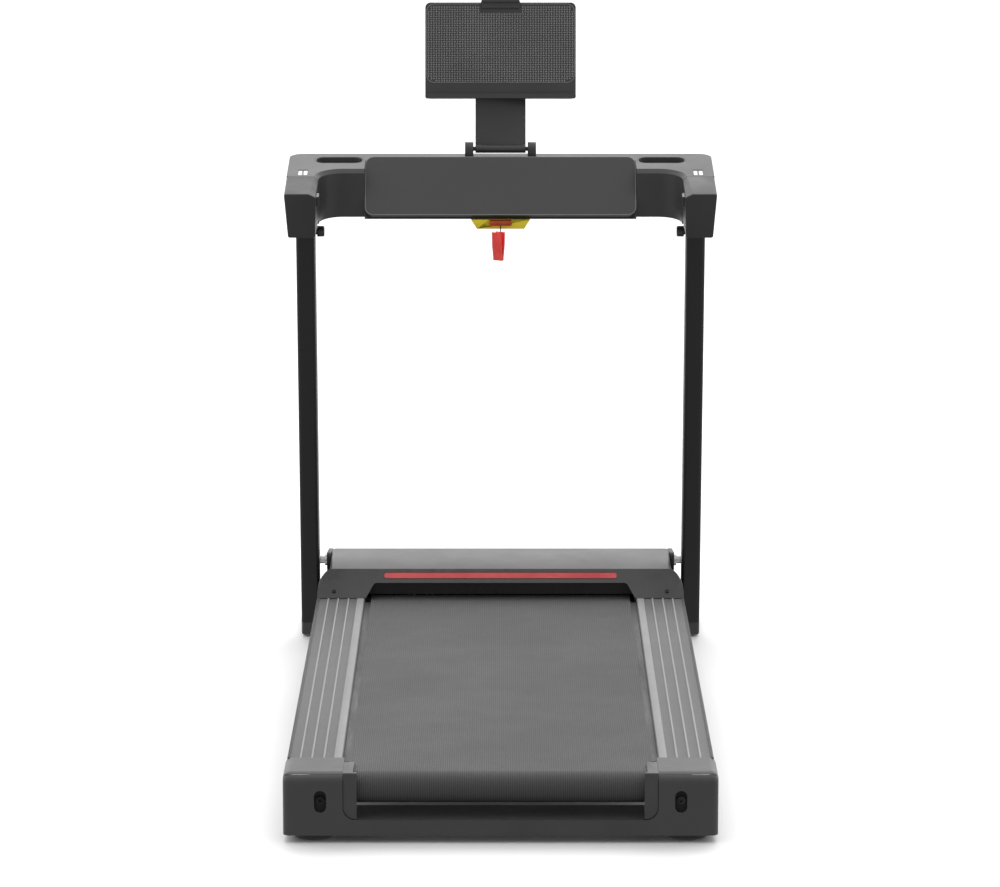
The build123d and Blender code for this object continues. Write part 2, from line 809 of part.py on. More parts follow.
with BuildPart() as controller_board:
    with BuildSketch(Plane.XY.offset(pan_bottom + 6)):
        with Locations((controller_x, along(motor_y - 16))):
            Rectangle(150, 110)
    extrude(amount=3)
    with BuildSketch(Plane.XY.offset(pan_bottom + 9)):
        with Locations((controller_x, along(motor_y - 16))):
            with GridLocations(12, 0, 8, 1):
                Rectangle(3, 70)
        with Locations((controller_x + 63, along(motor_y - 20))):
            Rectangle(16, 30)
    extrude(amount=26)
write(controller_board.part, "controller_board")

# ================================================================ folding joint between deck and uprights
fold = math.radians(fold_angle)
lock_holes = (
    (lock_ahead, -lock_below),
    (
        lock_ahead * math.cos(fold) + lock_below * math.sin(fold),
        lock_ahead * math.sin(fold) - lock_below * math.cos(fold),
    ),
)
plate_inner = hood_half + 1
plate_outer = plate_inner + plate_thickness
with BuildPart() as pivot_plates:
    with BuildSketch(Plane.YZ.offset(plate_inner)):
        with BuildLine():
            CenterArc((along(pivot_y), pivot_z), 14, 0, 360)
            for y, z in lock_holes:
                CenterArc((along(pivot_y) + y, pivot_z + z), lock_radius + 6, 0, 360)
        make_hull()
        with Locations((along(pivot_y), pivot_z)):
            Circle(pivot_radius + running_fit, mode=Mode.SUBTRACT)
        with Locations(*[(along(pivot_y) + y, pivot_z + z) for y, z in lock_holes]):
            Circle(lock_radius + 1, mode=Mode.SUBTRACT)
    extrude(amount=plate_outer - plate_inner)
    # foot that is bolted to the outer side of the frame tube
    foot = (pivot_y - 30, tube_end - 2)
    with BuildSketch(Plane.YZ.offset(plate_inner)):
        with Locations((along(sum(foot) / 2), (deck_tube_bottom + 120) / 2)):
            Rectangle(foot[1] - foot[0], 120 - deck_tube_bottom)
    extrude(amount=plate_outer - plate_inner)
    with BuildSketch(Plane.YZ.offset(tube_outer)):
        with Locations((along(sum(foot) / 2), (deck_tube_bottom + hood_bottom - 2) / 2)):
            Rectangle(foot[1] - foot[0], hood_bottom - 2 - deck_tube_bottom)
    extrude(amount=plate_outer - tube_outer)
    mirror(about=Plane.YZ)
write(pivot_plates.part, "pivot_plates")

washer_height = 4.0
with BuildPart() as pivot_washers:
    with BuildSketch(Plane.YZ.offset(plate_outer)):
        with Locations((along(pivot_y), pivot_z)):
            Circle(pivot_radius + 4)
            Circle(pivot_radius + running_fit, mode=Mode.SUBTRACT)
    extrude(amount=washer_height)
    mirror(about=Plane.YZ)
write(pivot_washers.part, "pivot_washers")

with BuildPart() as pivot_bolts:
    with BuildSketch(Plane.YZ.offset(plate_inner + 1)):
        with Locations((along(pivot_y), pivot_z)):
            Circle(pivot_radius)
    extrude(amount=upright_outer - upright_wall - plate_inner - 1)
    mirror(about=Plane.YZ)
write(pivot_bolts.part, "pivot_bolts")

# ================================================================ uprights
with BuildPart() as right_upright:
    with BuildSketch(console_level.offset(-console_rise)):
        with Locations((upright_x, upright_u)):
            RectangleRounded(upright_width, upright_depth, 6)
            RectangleRounded(
                upright_width - 2 * upright_wall, upright_depth - 2 * upright_wall, 3.5, mode=Mode.SUBTRACT
            )
    extrude(amount=console_rise + 40)
    split(bisect_by=Plane.XY.offset(shoe_top), keep=Keep.TOP)
    with BuildSketch(Plane.YZ.offset(upright_inner - 1)):
        with Locations((along(pivot_y), pivot_z)):
            Circle(pivot_radius)
    extrude(amount=upright_wall + 2, mode=Mode.SUBTRACT)
write(right_upright.part, "right_upright")
write(mirror(right_upright.part, about=Plane.YZ), "left_upright")

with BuildPart() as upright_shoes:
    with BuildSketch(console_level.offset(-console_rise - 20)):
        with Locations((upright_x, upright_u)):
            RectangleRounded(upright_width, upright_depth, 6)
    extrude(amount=80)
    split(bisect_by=Plane.XY.offset(shoe_top), keep=Keep.BOTTOM)
    split(bisect_by=Plane.XY.offset(shoe_bottom), keep=Keep.TOP)
    fillet(upright_shoes.edges().group_by(Axis.Z)[0], radius=5)
    mirror(about=Plane.YZ)
write(upright_shoes.part, "upright_shoes")

# ================================================================ base frame
shoe_front = foot_face_y + (upright_depth / lean_cos) + 3
side_tube_end = wheel_y - wheel_radius - 5
main_tube = (pivot_y - 6, pivot_y + 30)
floor_start = pivot_y - base_reach
with BuildPart() as base_cross_tubes:
    for half, start, end in (
        (floor_tube_x + 18, floor_start, floor_start + 35),
        (upright_inner, main_tube[0], main_tube[1]),
        (upright_inner + 1, side_tube_end - 35, side_tube_end),
    ):
        add(
            bar(
                (-half, half), (along(start), along(end)), (base_bottom, base_top), wall=tube_wall
            ).part
        )
write(base_cross_tubes.part, "base_cross_tubes")

with BuildPart() as floor_tubes:
    for side in (-1, 1):
        middle = side * floor_tube_x
        add(
            bar(
                (middle - 17.5, middle + 17.5),
                (along(floor_start + 35), along(main_tube[0])),
                (base_bottom, base_top),
                wall=tube_wall,
                run="y",
            ).part
        )
write(floor_tubes.part, "floor_tubes")

bracket_x = (upright_inner + 1, upright_inner + 6)
lock_y = pivot_y + lock_ahead
lock_z = pivot_z - lock_below
ear_thickness = 3.5
with BuildPart() as base_side_tubes:
    add(
        bar(
            (upright_inner + 1, upright_outer - 1),
            (along(shoe_front), along(side_tube_end)),
            (base_bottom, base_top),
            wall=tube_wall,
            run="y",
        ).part
    )
    # ears for the wheel's axle
    with BuildSketch(Plane.XY.offset(base_bottom + 2)):
        for edge in (upright_inner + 1 + ear_thickness / 2, upright_outer - 1 - ear_thickness / 2):
            with Locations((edge, along((side_tube_end + wheel_y + 11) / 2))):
                Rectangle(ear_thickness, wheel_y + 11 - side_tube_end)
    extrude(amount=wheel_radius + wheel_clear + 9 - base_bottom)
    with BuildSketch(Plane.YZ.offset(upright_inner)):
        with Locations((along(wheel_y), wheel_radius + wheel_clear)):
            Circle(axle_radius)
    extrude(amount=upright_width + 5, mode=Mode.SUBTRACT)
    mirror(about=Plane.YZ)
    # bracket and guide for the fold lock, welded to the right tube
    with BuildSketch(Plane.YZ.offset(bracket_x[0])):
        with Locations((along(lock_y), (base_top + lock_z + 12) / 2)):
            Rectangle(30, lock_z + 16 - base_top)
    extrude(amount=bracket_x[1] - bracket_x[0])
    with BuildSketch(Plane.YZ.offset(bracket_x[1])):
        with Locations((along(lock_y), lock_z)):
            Circle(10)
    extrude(amount=3)
    with BuildSketch(Plane.YZ.offset(bracket_x[0] - 1)):
        with Locations((along(lock_y), lock_z)):
            Circle(lock_radius + running_fit)
    extrude(amount=12, mode=Mode.SUBTRACT)
write(base_side_tubes.part, "base_side_tubes")

with BuildPart() as lock_plunger:
    with BuildSketch(Plane.YZ.offset(upright_inner - 0.5)):
        with Locations((along(lock_y), lock_z)):
            Circle(lock_radius)
    extrude(amount=upright_width - 3)
    with BuildSketch(Plane.YZ.offset(bracket_x[1] + 4 + lock_travel)):
        with Locations((along(lock_y), lock_z)):
            Circle(10)
    extrude(amount=7)
    fillet(lock_plunger.edges().filter_by(GeomType.CIRCLE).sort_by(Axis.X)[-1], radius=2)
write(lock_plunger.part, "lock_plunger")

with BuildPart() as base_pads:
    with BuildSketch(Plane.XY):
        for side in (-1, 1):
            with Locations((side * floor_tube_x, along(floor_start + 17.5))):
                Rectangle(50, 30)
            with Locations((side * floor_tube_x, along(main_tube[0] - 30))):
                Rectangle(30, 40)
            with Locations((side * upright_x, along(side_tube_end - 24))):
                Rectangle(30, 30)
    extrude(amount=base_bottom)
    chamfer(base_pads.edges().group_by(Axis.Z)[0], length=1.5)
write(base_pads.part, "base_pads")

with BuildPart() as wheel_axles:
    with BuildSketch(Plane.YZ.offset(upright_inner + 1)):
        with Locations((along(wheel_y), wheel_radius + wheel_clear)):
            Circle(axle_radius)
    extrude(amount=upright_width - 2)
    mirror(about=Plane.YZ)
write(wheel_axles.part, "wheel_axles")

with BuildPart() as right_transport_wheel:
    with BuildSketch(Plane.YZ.offset(upright_x - wheel_width / 2)):
        with Locations((along(wheel_y), wheel_radius + wheel_clear)):
            Circle(wheel_radius)
            Circle(axle_radius + running_fit, mode=Mode.SUBTRACT)
    extrude(amount=wheel_width)
    rims = right_transport_wheel.edges().filter_by(GeomType.CIRCLE).group_by(SortBy.RADIUS)[-1]
    fillet(rims, radius=3)
write(right_transport_wheel.part, "right_transport_wheel")
write(mirror(right_transport_wheel.part, about=Plane.YZ), "left_transport_wheel")

# ================================================================ console
# the display leans back: its face runs from its foot up and forward
face_length = math.hypot(display_run, display_rise)
face_u, face_v = display_run / face_length, display_rise / face_length


def behind_display(depth):
    """Two far points on the line a given depth behind the display's face."""
    foot_u = display_foot_u + face_v * depth
    foot_v = display_foot_v - face_u * depth
    low = (foot_u - 60 * face_u, foot_v - 60 * face_v)
    high = (foot_u + 200 * face_u, foot_v + 200 * face_v)
    return low, high


def above_console(point):
    """The height of a point over the console's level plane."""
    return (Vector(*point) - console_level.origin).dot(console_level.z_dir)


def console_body(inset, low, high, bevel=0.0):
    """The console's U shape, drawn in by an inset, between two heights, its inner top edge bevelled."""
    half_display = display_width / 2 + fit_gap
    back = console_depth - inset
    face = wing_face + inset
    with BuildPart() as body:
        with BuildSketch(console_level.offset(low)):
            with Locations((0, (grip_seam + back) / 2)):
                Rectangle(2 * (grip_outer - inset), back - grip_seam)
            with Locations((0, (grip_seam + face) / 2)):
                Rectangle(2 * (grip_inner + inset), face - grip_seam, mode=Mode.SUBTRACT)
        extrude(amount=high - low)
        uprightish = body.edges().filter_by(console_up)
        outer = uprightish.filter_by(lambda e: abs(e.center().X) > grip_outer - inset - 1)
        fillet(outer.group_by(Axis.Y)[-1], radius=console_corner - inset)
        uprightish = body.edges().filter_by(console_up)
        inner = uprightish.filter_by(lambda e: abs(abs(e.center().X) - grip_inner - inset) < 1)
        fillet(inner.group_by(Axis.Y)[-1], radius=wing_round + inset)
        with BuildSketch(console_level.offset(low)):
            with Locations((0, display_foot_u + 4 + inset + 30)):
                Rectangle(2 * (half_display - inset), 60)
        extrude(amount=high - low)
        near, far = behind_display(display_thickness + fit_gap + inset)
        with BuildSketch(console_side.offset(-half_display - inset)):
            with BuildLine():
                Polyline(near, far, (near[0] - 100, far[1]), (near[0] - 100, near[1]), close=True)
            make_face()
        extrude(amount=2 * (half_display + inset), mode=Mode.SUBTRACT)
        if bevel:
            limit = tilted(wing_face + 10, high)[0]
            rim = body.edges().filter_by(lambda e: half_display - 1 < abs(e.center().X) < grip_inner + inset + 1)
            rim = rim.filter_by(lambda e: e.center().Y < limit)
            chamfer(rim.filter_by(lambda e: above_console(e.center()) > high - 0.5), length=bevel)
    return body


with BuildPart() as console_housing:
    add(console_body(0, console_floor, console_height, rim_bevel).part)
    hollow = console_body(console_wall, console_floor - 1, console_height - console_wall, rim_bevel)
    add(hollow.part, mode=Mode.SUBTRACT)
    with BuildSketch(console_level.offset(console_height - 10)):
        for side in (-1, 1):
            with Locations((side * tray_x, tray_u)):
                RectangleRounded(tray_length + fit_gap, tray_width + fit_gap, tray_width / 2 - 5)
    extrude(amount=20, mode=Mode.SUBTRACT)
write(console_housing.part, "console_housing")

cover_thickness = 3.0
with BuildPart() as console_cover:
    add(console_body(0, console_floor - cover_thickness, console_floor).part)
    with BuildSketch(console_level.offset(console_floor - cover_thickness - 1)):
        for side in (-1, 1):
            with Locations((side * upright_x, upright_u)):
                RectangleRounded(upright_width + 0.4, upright_depth + 0.4, 6.2)
    extrude(amount=cover_thickness + 2, mode=Mode.SUBTRACT)
write(console_cover.part, "console_cover")

with BuildPart() as display_panel:
    with BuildSketch(console_side.offset(-display_width / 2)):
        with BuildLine():
            foot_u = display_foot_u
            foot_v = display_foot_v
            deep_u = face_v * display_thickness
            deep_v = -face_u * display_thickness
            Polyline(
                (foot_u, foot_v),
                (foot_u + display_run, foot_v + display_rise),
                (foot_u + display_run + deep_u, foot_v + display_rise + deep_v),
                (foot_u + deep_u, foot_v + deep_v),
                close=True,
            )
        make_face()
    extrude(amount=display_width)
    ends = display_panel.edges().filter_by(lambda e: abs(e.center().X) > display_width / 2 - 1)
    fillet(ends.filter_by(lambda e: abs(e.length - display_thickness) < 0.1), radius=16)
write(display_panel.part, "display_panel")

with BuildPart() as console_board:
    with BuildSketch(console_level.offset(20)):
        with Locations((0, 252)):
            Rectangle(300, 4)
    extrude(amount=45)
    with BuildSketch(console_level.offset(25)):
        with Locations((0, 246)):
            with GridLocations(60, 0, 4, 1):
                Rectangle(26, 8)
    extrude(amount=18)
write(console_board.part, "console_board")

with BuildPart() as storage_trays:
    for side in (-1, 1):
        with BuildSketch(console_level.offset(console_height - tray_depth)):
            with Locations((side * tray_x, tray_u)):
                RectangleRounded(tray_length, tray_width, tray_width / 2 - 5)
        extrude(amount=tray_depth)
        with BuildSketch(console_level.offset(console_height - tray_depth + tray_wall)):
            with Locations((side * tray_x, tray_u)):
                RectangleRounded(
                    tray_length - 2 * tray_wall,
                    tray_width - 2 * tray_wall,
                    tray_width / 2 - 5 - tray_wall,
                )
        extrude(amount=tray_depth, mode=Mode.SUBTRACT)
write(storage_trays.part, "storage_trays")

grip_x = (grip_inner + grip_outer) / 2
grip_run = console_side.x_dir


def grip_section(u, bevel, taper):
    """The grip's outline at a distance u, with a bevelled inner top edge and a drawn-in foot."""
    y, z = tilted(u, 0)
    with BuildSketch(Plane(origin=(0, y, z), x_dir=(1, 0, 0), z_dir=-grip_run)) as section:
        with BuildLine():
            Polyline(
                (grip_outer, console_height),
                (grip_inner + bevel, console_height),
                (grip_inner, console_height - rim_bevel),
                (grip_inner + taper / 3, 0),
                (grip_outer - taper, 0),
                close=True,
            )
        make_face()
    return section.sketch.faces()[0]


with BuildPart() as right_grip:
    ends = [grip_section(0, 2 * rim_bevel, grip_taper), grip_section(grip_seam, rim_bevel, 0)]
    loft(ends, ruled=True)
    fillet(right_grip.edges().filter_by(lambda e: e.length > grip_seam - 1), radius=4)
    fillet(right_grip.faces().sort_by(Axis.Y)[0].edges(), radius=2.5)
    # hollow, open at the seam
    with BuildSketch(console_section):
        with BuildLine():
            Polyline(
                (grip_outer - console_wall - 1, console_height - console_wall),
                (grip_inner + 2 * rim_bevel + 2, console_height - console_wall),
                (grip_inner + console_wall + 0.5, console_height - rim_bevel - 4),
                (grip_inner + console_wall + 3, console_wall + 4),
                (grip_inner + console_wall + 7, console_wall),
                (grip_outer - grip_taper - console_wall - 4, console_wall),
                (grip_outer - grip_taper - console_wall, console_wall + 4),
                close=True,
            )
        make_face()
    extrude(amount=-grip_seam, mode=Mode.SUBTRACT)
    # window for the thumb switch
    with BuildSketch(console_level.offset(rocker_v - rocker_height / 2 - 1)):
        with Locations((grip_inner, rocker_u)):
            Rectangle(20, rocker_length + 2)
    extrude(amount=rocker_height + 2, mode=Mode.SUBTRACT)
write(right_grip.part, "right_grip")
write(mirror(right_grip.part, about=Plane.YZ), "left_grip")

with BuildPart() as right_thumb_rocker:
    with BuildSketch(console_level.offset(rocker_v - rocker_height / 2)):
        with Locations((grip_inner + rocker_depth / 2 - rocker_proud, rocker_u)):
            Rectangle(rocker_depth, rocker_length)
    extrude(amount=rocker_height)
    proud = right_thumb_rocker.faces().sort_by(Axis.X)[0]
    fillet(proud.edges(), radius=2)
write(right_thumb_rocker.part, "right_thumb_rocker")
write(mirror(right_thumb_rocker.part, about=Plane.YZ), "left_thumb_rocker")

with BuildPart() as console_knobs:
    knob_y, knob_z = tilted(upright_u, knob_v)
    with BuildSketch(Plane.YZ.offset(upright_inner - knob_length)):
        with Locations((knob_y, knob_z)):
            Circle(knob_radius)
    extrude(amount=knob_length - 4)
    fillet(console_knobs.edges().filter_by(GeomType.CIRCLE).sort_by(Axis.X)[0], radius=3)
    with BuildSketch(Plane.YZ.offset(upright_inner - 4)):
        with Locations((knob_y, knob_z)):
            Circle(knob_radius - 4)
    extrude(amount=4)
    mirror(about=Plane.YZ)
write(console_knobs.part, "console_knobs")

# ================================================================ tablet rest
ear_inner = neck_width / 2 + 4
ear_outer = ear_inner + 16
with BuildPart() as tablet_bracket:
    with BuildSketch(console_level.offset(console_height)):
        with Locations((0, hinge_u)):
            Rectangle(2 * ear_outer, 36)
    extrude(amount=4)
    for side in (-1, 1):
        with BuildSketch(console_side.offset(side * (ear_inner + ear_outer) / 2)):
            with BuildLine():
                CenterArc((hinge_u, hinge_v), 13, 0, 360)
                CenterArc((hinge_u - 9, console_height + 5), 5, 0, 360)
                CenterArc((hinge_u + 9, console_height + 5), 5, 0, 360)
            make_hull()
        extrude(amount=(ear_outer - ear_inner) / 2, both=True)
    with BuildSketch(console_side.offset(-ear_outer)):
        with Locations((hinge_u, hinge_v)):
            Circle(pin_radius)
    extrude(amount=2 * ear_outer)
write(tablet_bracket.part, "tablet_bracket")

neck_top = 175.0
with BuildPart() as tablet_neck:
    with BuildSketch(rest_face.offset(-rest_thickness / 2 - neck_thickness)):
        with Locations((0, neck_top / 2)):
            Rectangle(neck_width, neck_top)
    extrude(amount=neck_thickness)
    with BuildSketch(console_side.offset(-neck_width / 2)):
        with Locations((hinge_u, hinge_v)):
            Circle(barrel_radius)
    extrude(amount=neck_width)
    with BuildSketch(console_side.offset(-neck_width / 2 - 1)):
        with Locations((hinge_u, hinge_v)):
            Circle(pin_radius + running_fit)
    extrude(amount=neck_width + 2, mode=Mode.SUBTRACT)
write(tablet_neck.part, "tablet_neck")

with BuildPart() as tablet_plate:
    with BuildSketch(rest_face.offset(-rest_thickness / 2)):
        with Locations((0, rest_start + rest_height / 2)):
            RectangleRounded(rest_width, rest_height, 10)
    extrude(amount=rest_thickness)
    with BuildSketch(rest_face.offset(rest_thickness / 2)):
        with Locations((0, rest_start + 4.5)):
            RectangleRounded(rest_width, 9, 4)
    extrude(amount=13)
write(tablet_plate.part, "tablet_plate")

clamp_top = rest_start + rest_height
with BuildPart() as tablet_clamp:
    with BuildSketch(rest_face.offset(-rest_thickness / 2 - 5.5)):
        with Locations((0, clamp_top - 25)):
            Rectangle(44, 64)
    extrude(amount=5)
    with BuildSketch(rest_face.offset(-rest_thickness / 2 - 5.5)):
        with Locations((0, clamp_top + 3.8)):
            RectangleRounded(clamp_width, 7, 2)
    extrude(amount=rest_thickness + 5.5 + 9)
    with BuildSketch(rest_face.offset(rest_thickness / 2 + 0.5)):
        with Locations((0, clamp_top - 3)):
            RectangleRounded(clamp_width, 16, 2)
    extrude(amount=3.5)
write(tablet_clamp.part, "tablet_clamp")

# ================================================================ safety key, cord and clip
seat_top = console_floor - cover_thickness
seat_bottom = seat_top - 18
seat_u = (display_foot_u + 4.0, display_foot_u + 40.0)
seat_wide = 56.0
seat_narrow = 45.0
with BuildPart() as key_seat:
    with BuildSketch(Plane(origin=console_level.from_local_coords(Vector(0, seat_u[0], 0)), x_dir=(1, 0, 0),
                           z_dir=-console_side.x_dir)) as front:
        with BuildLine():
            Polyline(
                (-seat_wide, seat_top),
                (seat_wide, seat_top),
                (seat_narrow, seat_bottom),
                (-seat_narrow, seat_bottom),
                close=True,
            )
        make_face()
    extrude(amount=-(seat_u[1] - seat_u[0]))
    with BuildSketch(console_level.offset(key_v - key_height / 2 - 0.3)):
        with Locations((0, seat_u[0])):
            Rectangle(key_width + 0.6, 26)
    extrude(amount=key_height + 0.6, mode=Mode.SUBTRACT)
write(key_seat.part, "key_seat")

with BuildPart() as safety_key:
    with BuildSketch(console_level.offset(key_v - key_height / 2)):
        with Locations((0, seat_u[0])):
            RectangleRounded(key_width, 24, 4)
    extrude(amount=key_height)
write(safety_key.part, "safety_key")

# the clip hangs below the key, turned about the vertical
key_exit = tilted(seat_u[0] - 6, key_v - key_height / 2)
clip_pivot = (-4.0, key_exit[0] - 11, key_exit[1] - 39)
turn = math.radians(clip_turn)
to_runner = Vector(-math.sin(turn), -math.cos(turn), 0)
across = Vector(math.cos(turn), -math.sin(turn), 0)
clip_side = Plane(origin=clip_pivot, x_dir=to_runner, z_dir=-across)
jaw_width = 20.0
pin_r = 1.5


def jaw(side):
    """One leaf of the clip, from its tip up past the pivot to its handle."""
    with BuildPart() as leaf:
        with BuildSketch(clip_side.offset(-jaw_width / 2)):
            with BuildLine():
                Polyline(
                    (side * 0.4, -27),
                    (side * 0.4, -21),
                    (side * 3, -3),
                    (side * 3, 3),
                    (side * 5, 27),
                    (side * 8, 27),
                    (side * 7, 0),
                    (side * 3.6, -21),
                    (side * 3.6, -27),
                    close=True,
                )
            make_face()
        extrude(amount=jaw_width)
    return leaf


with BuildPart() as clip_body:
    add(jaw(-1).part)
    with BuildSketch(clip_side.offset(-jaw_width / 2 + 2)):
        Circle(pin_r)
    extrude(amount=jaw_width - 4)
    with BuildSketch(clip_side.offset(-2.5)):
        with Locations((-2, 0)):
            Rectangle(4, 2 * pin_r)
    extrude(amount=5)
    # the eye that the cord is tied to, on the leaf's back
    with BuildSketch(Plane(origin=clip_pivot)):
        with Locations((11 * math.sin(turn), 11 * math.cos(turn))):
            Circle(3)
        with Locations((8 * math.sin(turn), 8 * math.cos(turn))):
            Circle(3)
    extrude(amount=-6)
write(clip_body.part, "clip_body")

with BuildPart() as clip_jaw:
    add(jaw(1).part)
    for low in (-8.0, 4.0):
        with BuildSketch(clip_side.offset(low)):
            with Locations((2, 0)):
                Rectangle(4, 6)
            Circle(3)
            Circle(pin_r + running_fit, mode=Mode.SUBTRACT)
        extrude(amount=4)
write(clip_jaw.part, "clip_jaw")

eye = (clip_pivot[0] + 11 * math.sin(turn), clip_pivot[1] + 11 * math.cos(turn), clip_pivot[2])
cord_route = [
    (0.0, key_exit[0], key_exit[1]),
    (0.1, key_exit[0] - 0.5, key_exit[1] - 9),
    (1.2, key_exit[0] - 1.6, key_exit[1] - 18.5),
    (2.2, eye[1] + 0.6, eye[2] + 10.5),
    (eye[0], eye[1], eye[2]),
]
points = [Vector(*p) for p in cord_route]
radii = []
for before, here, after in zip(points, points[1:], points[2:]):
    half_turn = math.radians((here - before).get_angle(after - here)) / 2
    shorter = min((here - before).length, (after - here).length)
    radii.append(0.45 * shorter / math.tan(half_turn))
print("cord radii", [round(r, 1) for r in radii])
with BuildPart() as key_cord:
    with BuildLine() as path:
        FilletPolyline(*points, radius=radii)
    with BuildSketch(Plane(origin=points[0], z_dir=points[1] - points[0])):
        Circle(cord_radius)
    sweep()
cord_length = sum(edge.length for edge in path.edges())
print("cord length", round(cord_length, 1), "volume ratio",
      round(key_cord.part.volume / (math.pi * cord_radius**2 * cord_length), 3))
write(key_cord.part, "key_cord")
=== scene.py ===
# %% [markdown]
# # A folding treadmill, finished piece by piece
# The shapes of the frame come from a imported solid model. This lesson gives every part of it
# the surface that the real one has, and adds the fine pieces that a solid model leaves out.

# %% Load the frame
import json
import math

import bmesh
import bpy
from mathutils import Matrix, Vector


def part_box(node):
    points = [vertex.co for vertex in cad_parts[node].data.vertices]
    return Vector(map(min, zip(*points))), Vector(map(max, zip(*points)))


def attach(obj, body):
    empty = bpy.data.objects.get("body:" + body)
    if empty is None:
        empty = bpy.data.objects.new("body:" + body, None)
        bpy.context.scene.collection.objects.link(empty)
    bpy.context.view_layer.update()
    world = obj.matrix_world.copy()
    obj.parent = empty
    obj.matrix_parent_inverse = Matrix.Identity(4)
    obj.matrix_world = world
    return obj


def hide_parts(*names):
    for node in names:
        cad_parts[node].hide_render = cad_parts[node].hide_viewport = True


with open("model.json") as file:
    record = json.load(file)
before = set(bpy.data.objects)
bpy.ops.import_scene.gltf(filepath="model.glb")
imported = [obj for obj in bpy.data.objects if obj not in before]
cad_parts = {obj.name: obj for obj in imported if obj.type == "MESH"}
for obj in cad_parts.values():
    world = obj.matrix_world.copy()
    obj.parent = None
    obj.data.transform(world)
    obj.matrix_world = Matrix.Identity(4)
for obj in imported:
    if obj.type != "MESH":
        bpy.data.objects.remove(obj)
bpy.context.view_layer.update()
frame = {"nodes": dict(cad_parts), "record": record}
nodes = frame["nodes"]
scene = bpy.context.scene
MM = 0.001

# %% [markdown]
# The camera stands well behind the runner's end and looks a little down. A long lens keeps the
# uprights nearly parallel, as a catalogue view does.

# %% Camera
lens_data = bpy.data.cameras.new("studio_camera")
lens_data.lens = 164.1
lens_data.sensor_width = 36.0
lens_data.clip_end = 200.0
camera = bpy.data.objects.new("studio_camera", lens_data)
camera.location = (-0.001, -8.115, 1.976)
camera.rotation_euler = (math.radians(90.0 - 10.24), 0.0, 0.0)
scene.collection.objects.link(camera)
scene.camera = camera
print("camera at", [round(v, 3) for v in camera.location])

# %% [markdown]
# The safety key hangs on a short limp cord. A cord is one smooth NURBS line with a round
# bevel. Its order and end points are set after the points are in, because set earlier they
# leave straight runs.

# %% Key cord
KEY_Y, KEY_Z = 0.478338, 0.845142
EYE = (0.002312, 0.476349, 0.806142)
CORD_RADIUS = 0.001
cord_route = [
    (0.0, KEY_Y, KEY_Z),
    (0.0001, KEY_Y - 0.0005, KEY_Z - 0.009),
    (0.0012, KEY_Y - 0.0016, KEY_Z - 0.0185),
    (0.0022, EYE[1] + 0.0006, EYE[2] + 0.0105),
    EYE,
]
cord_curve = bpy.data.curves.new("safety_cord", "CURVE")
cord_curve.dimensions = "3D"
cord_line = cord_curve.splines.new("NURBS")
cord_line.points.add(len(cord_route) - 1)
for point, place in zip(cord_line.points, cord_route):
    point.co = (*place, 1.0)
    point.radius = CORD_RADIUS
cord_line.order_u = 3
cord_line.use_endpoint_u = True
cord_curve.resolution_u = 12
cord_curve.bevel_depth = 1.0
cord_curve.bevel_resolution = 4
cord_curve.use_fill_caps = True
safety_cord = bpy.data.objects.new("safety_cord", cord_curve)
scene.collection.objects.link(safety_cord)
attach(safety_cord, "safety_key")
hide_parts("key_cord")
print("cord points:", len(cord_route))

# %% [markdown]
# A plain white floor under a wide sun that stands ahead of the treadmill, so the shadow falls
# towards the runner; the sun itself is kept out of the reflections. The surroundings are dark low
# down and behind, and bright ahead and overhead, because dark plastic shows its shape by what it
# mirrors.

# %% Studio floor
FLOOR_HALF = 40.0
floor_mesh = bpy.data.meshes.new("floor")
floor_corners = [(-1, -1), (1, -1), (1, 1), (-1, 1)]
floor_mesh.from_pydata(
    [(x * FLOOR_HALF, y * FLOOR_HALF, 0.0) for x, y in floor_corners], [], [(0, 1, 2, 3)]
)
floor = bpy.data.objects.new("floor", floor_mesh)
scene.collection.objects.link(floor)
floor.visible_diffuse = False
floor.visible_glossy = False
floor_look = bpy.data.materials.new("studio_floor")
floor_look.use_nodes = True
floor_shader = floor_look.node_tree.nodes["Principled BSDF"]
floor_shader.inputs["Base Color"].default_value = (0.70, 0.70, 0.70, 1.0)
floor_shader.inputs["Roughness"].default_value = 0.6
floor_shader.inputs["Specular IOR Level"].default_value = 0.0
floor_mesh.materials.append(floor_look)
scene.view_settings.view_transform = "Standard"
print("floor", 2 * FLOOR_HALF, "m wide")

# %% Surroundings
SKY_DARK, SKY_BRIGHT = 0.58, 1.7
world = bpy.data.worlds.new("studio")
scene.world = world
world.use_nodes = True
sky = world.node_tree
direction = sky.nodes.new("ShaderNodeTexCoord")
lean_ahead = sky.nodes.new("ShaderNodeVectorMath")
lean_ahead.operation = "DOT_PRODUCT"
lean_ahead.inputs[1].default_value = Vector((0.0, 0.62, 0.78))
brighter_ahead = sky.nodes.new("ShaderNodeMapRange")
brighter_ahead.interpolation_type = "SMOOTHSTEP"
ramp = {"From Min": -0.25, "From Max": 0.95, "To Min": SKY_DARK, "To Max": SKY_BRIGHT}
for label, value in ramp.items():
    brighter_ahead.inputs[label].default_value = value
sky.links.new(direction.outputs["Generated"], lean_ahead.inputs[0])
sky.links.new(lean_ahead.outputs["Value"], brighter_ahead.inputs["Value"])
sky.links.new(brighter_ahead.outputs["Result"], sky.nodes["Background"].inputs["Strength"])
sky.nodes["Background"].inputs["Color"].default_value = (1.0, 1.0, 1.0, 1.0)

sun_data = bpy.data.lights.new("wide_sun", "SUN")
sun_data.energy = 2.5
sun_data.angle = math.radians(50.0)
sun = bpy.data.objects.new("wide_sun", sun_data)
sun.rotation_euler = (math.radians(-47.0), math.radians(4.0), 0.0)
scene.collection.objects.link(sun)
sun.visible_glossy = False
print("sky from", SKY_DARK, "behind to", SKY_BRIGHT, "ahead")


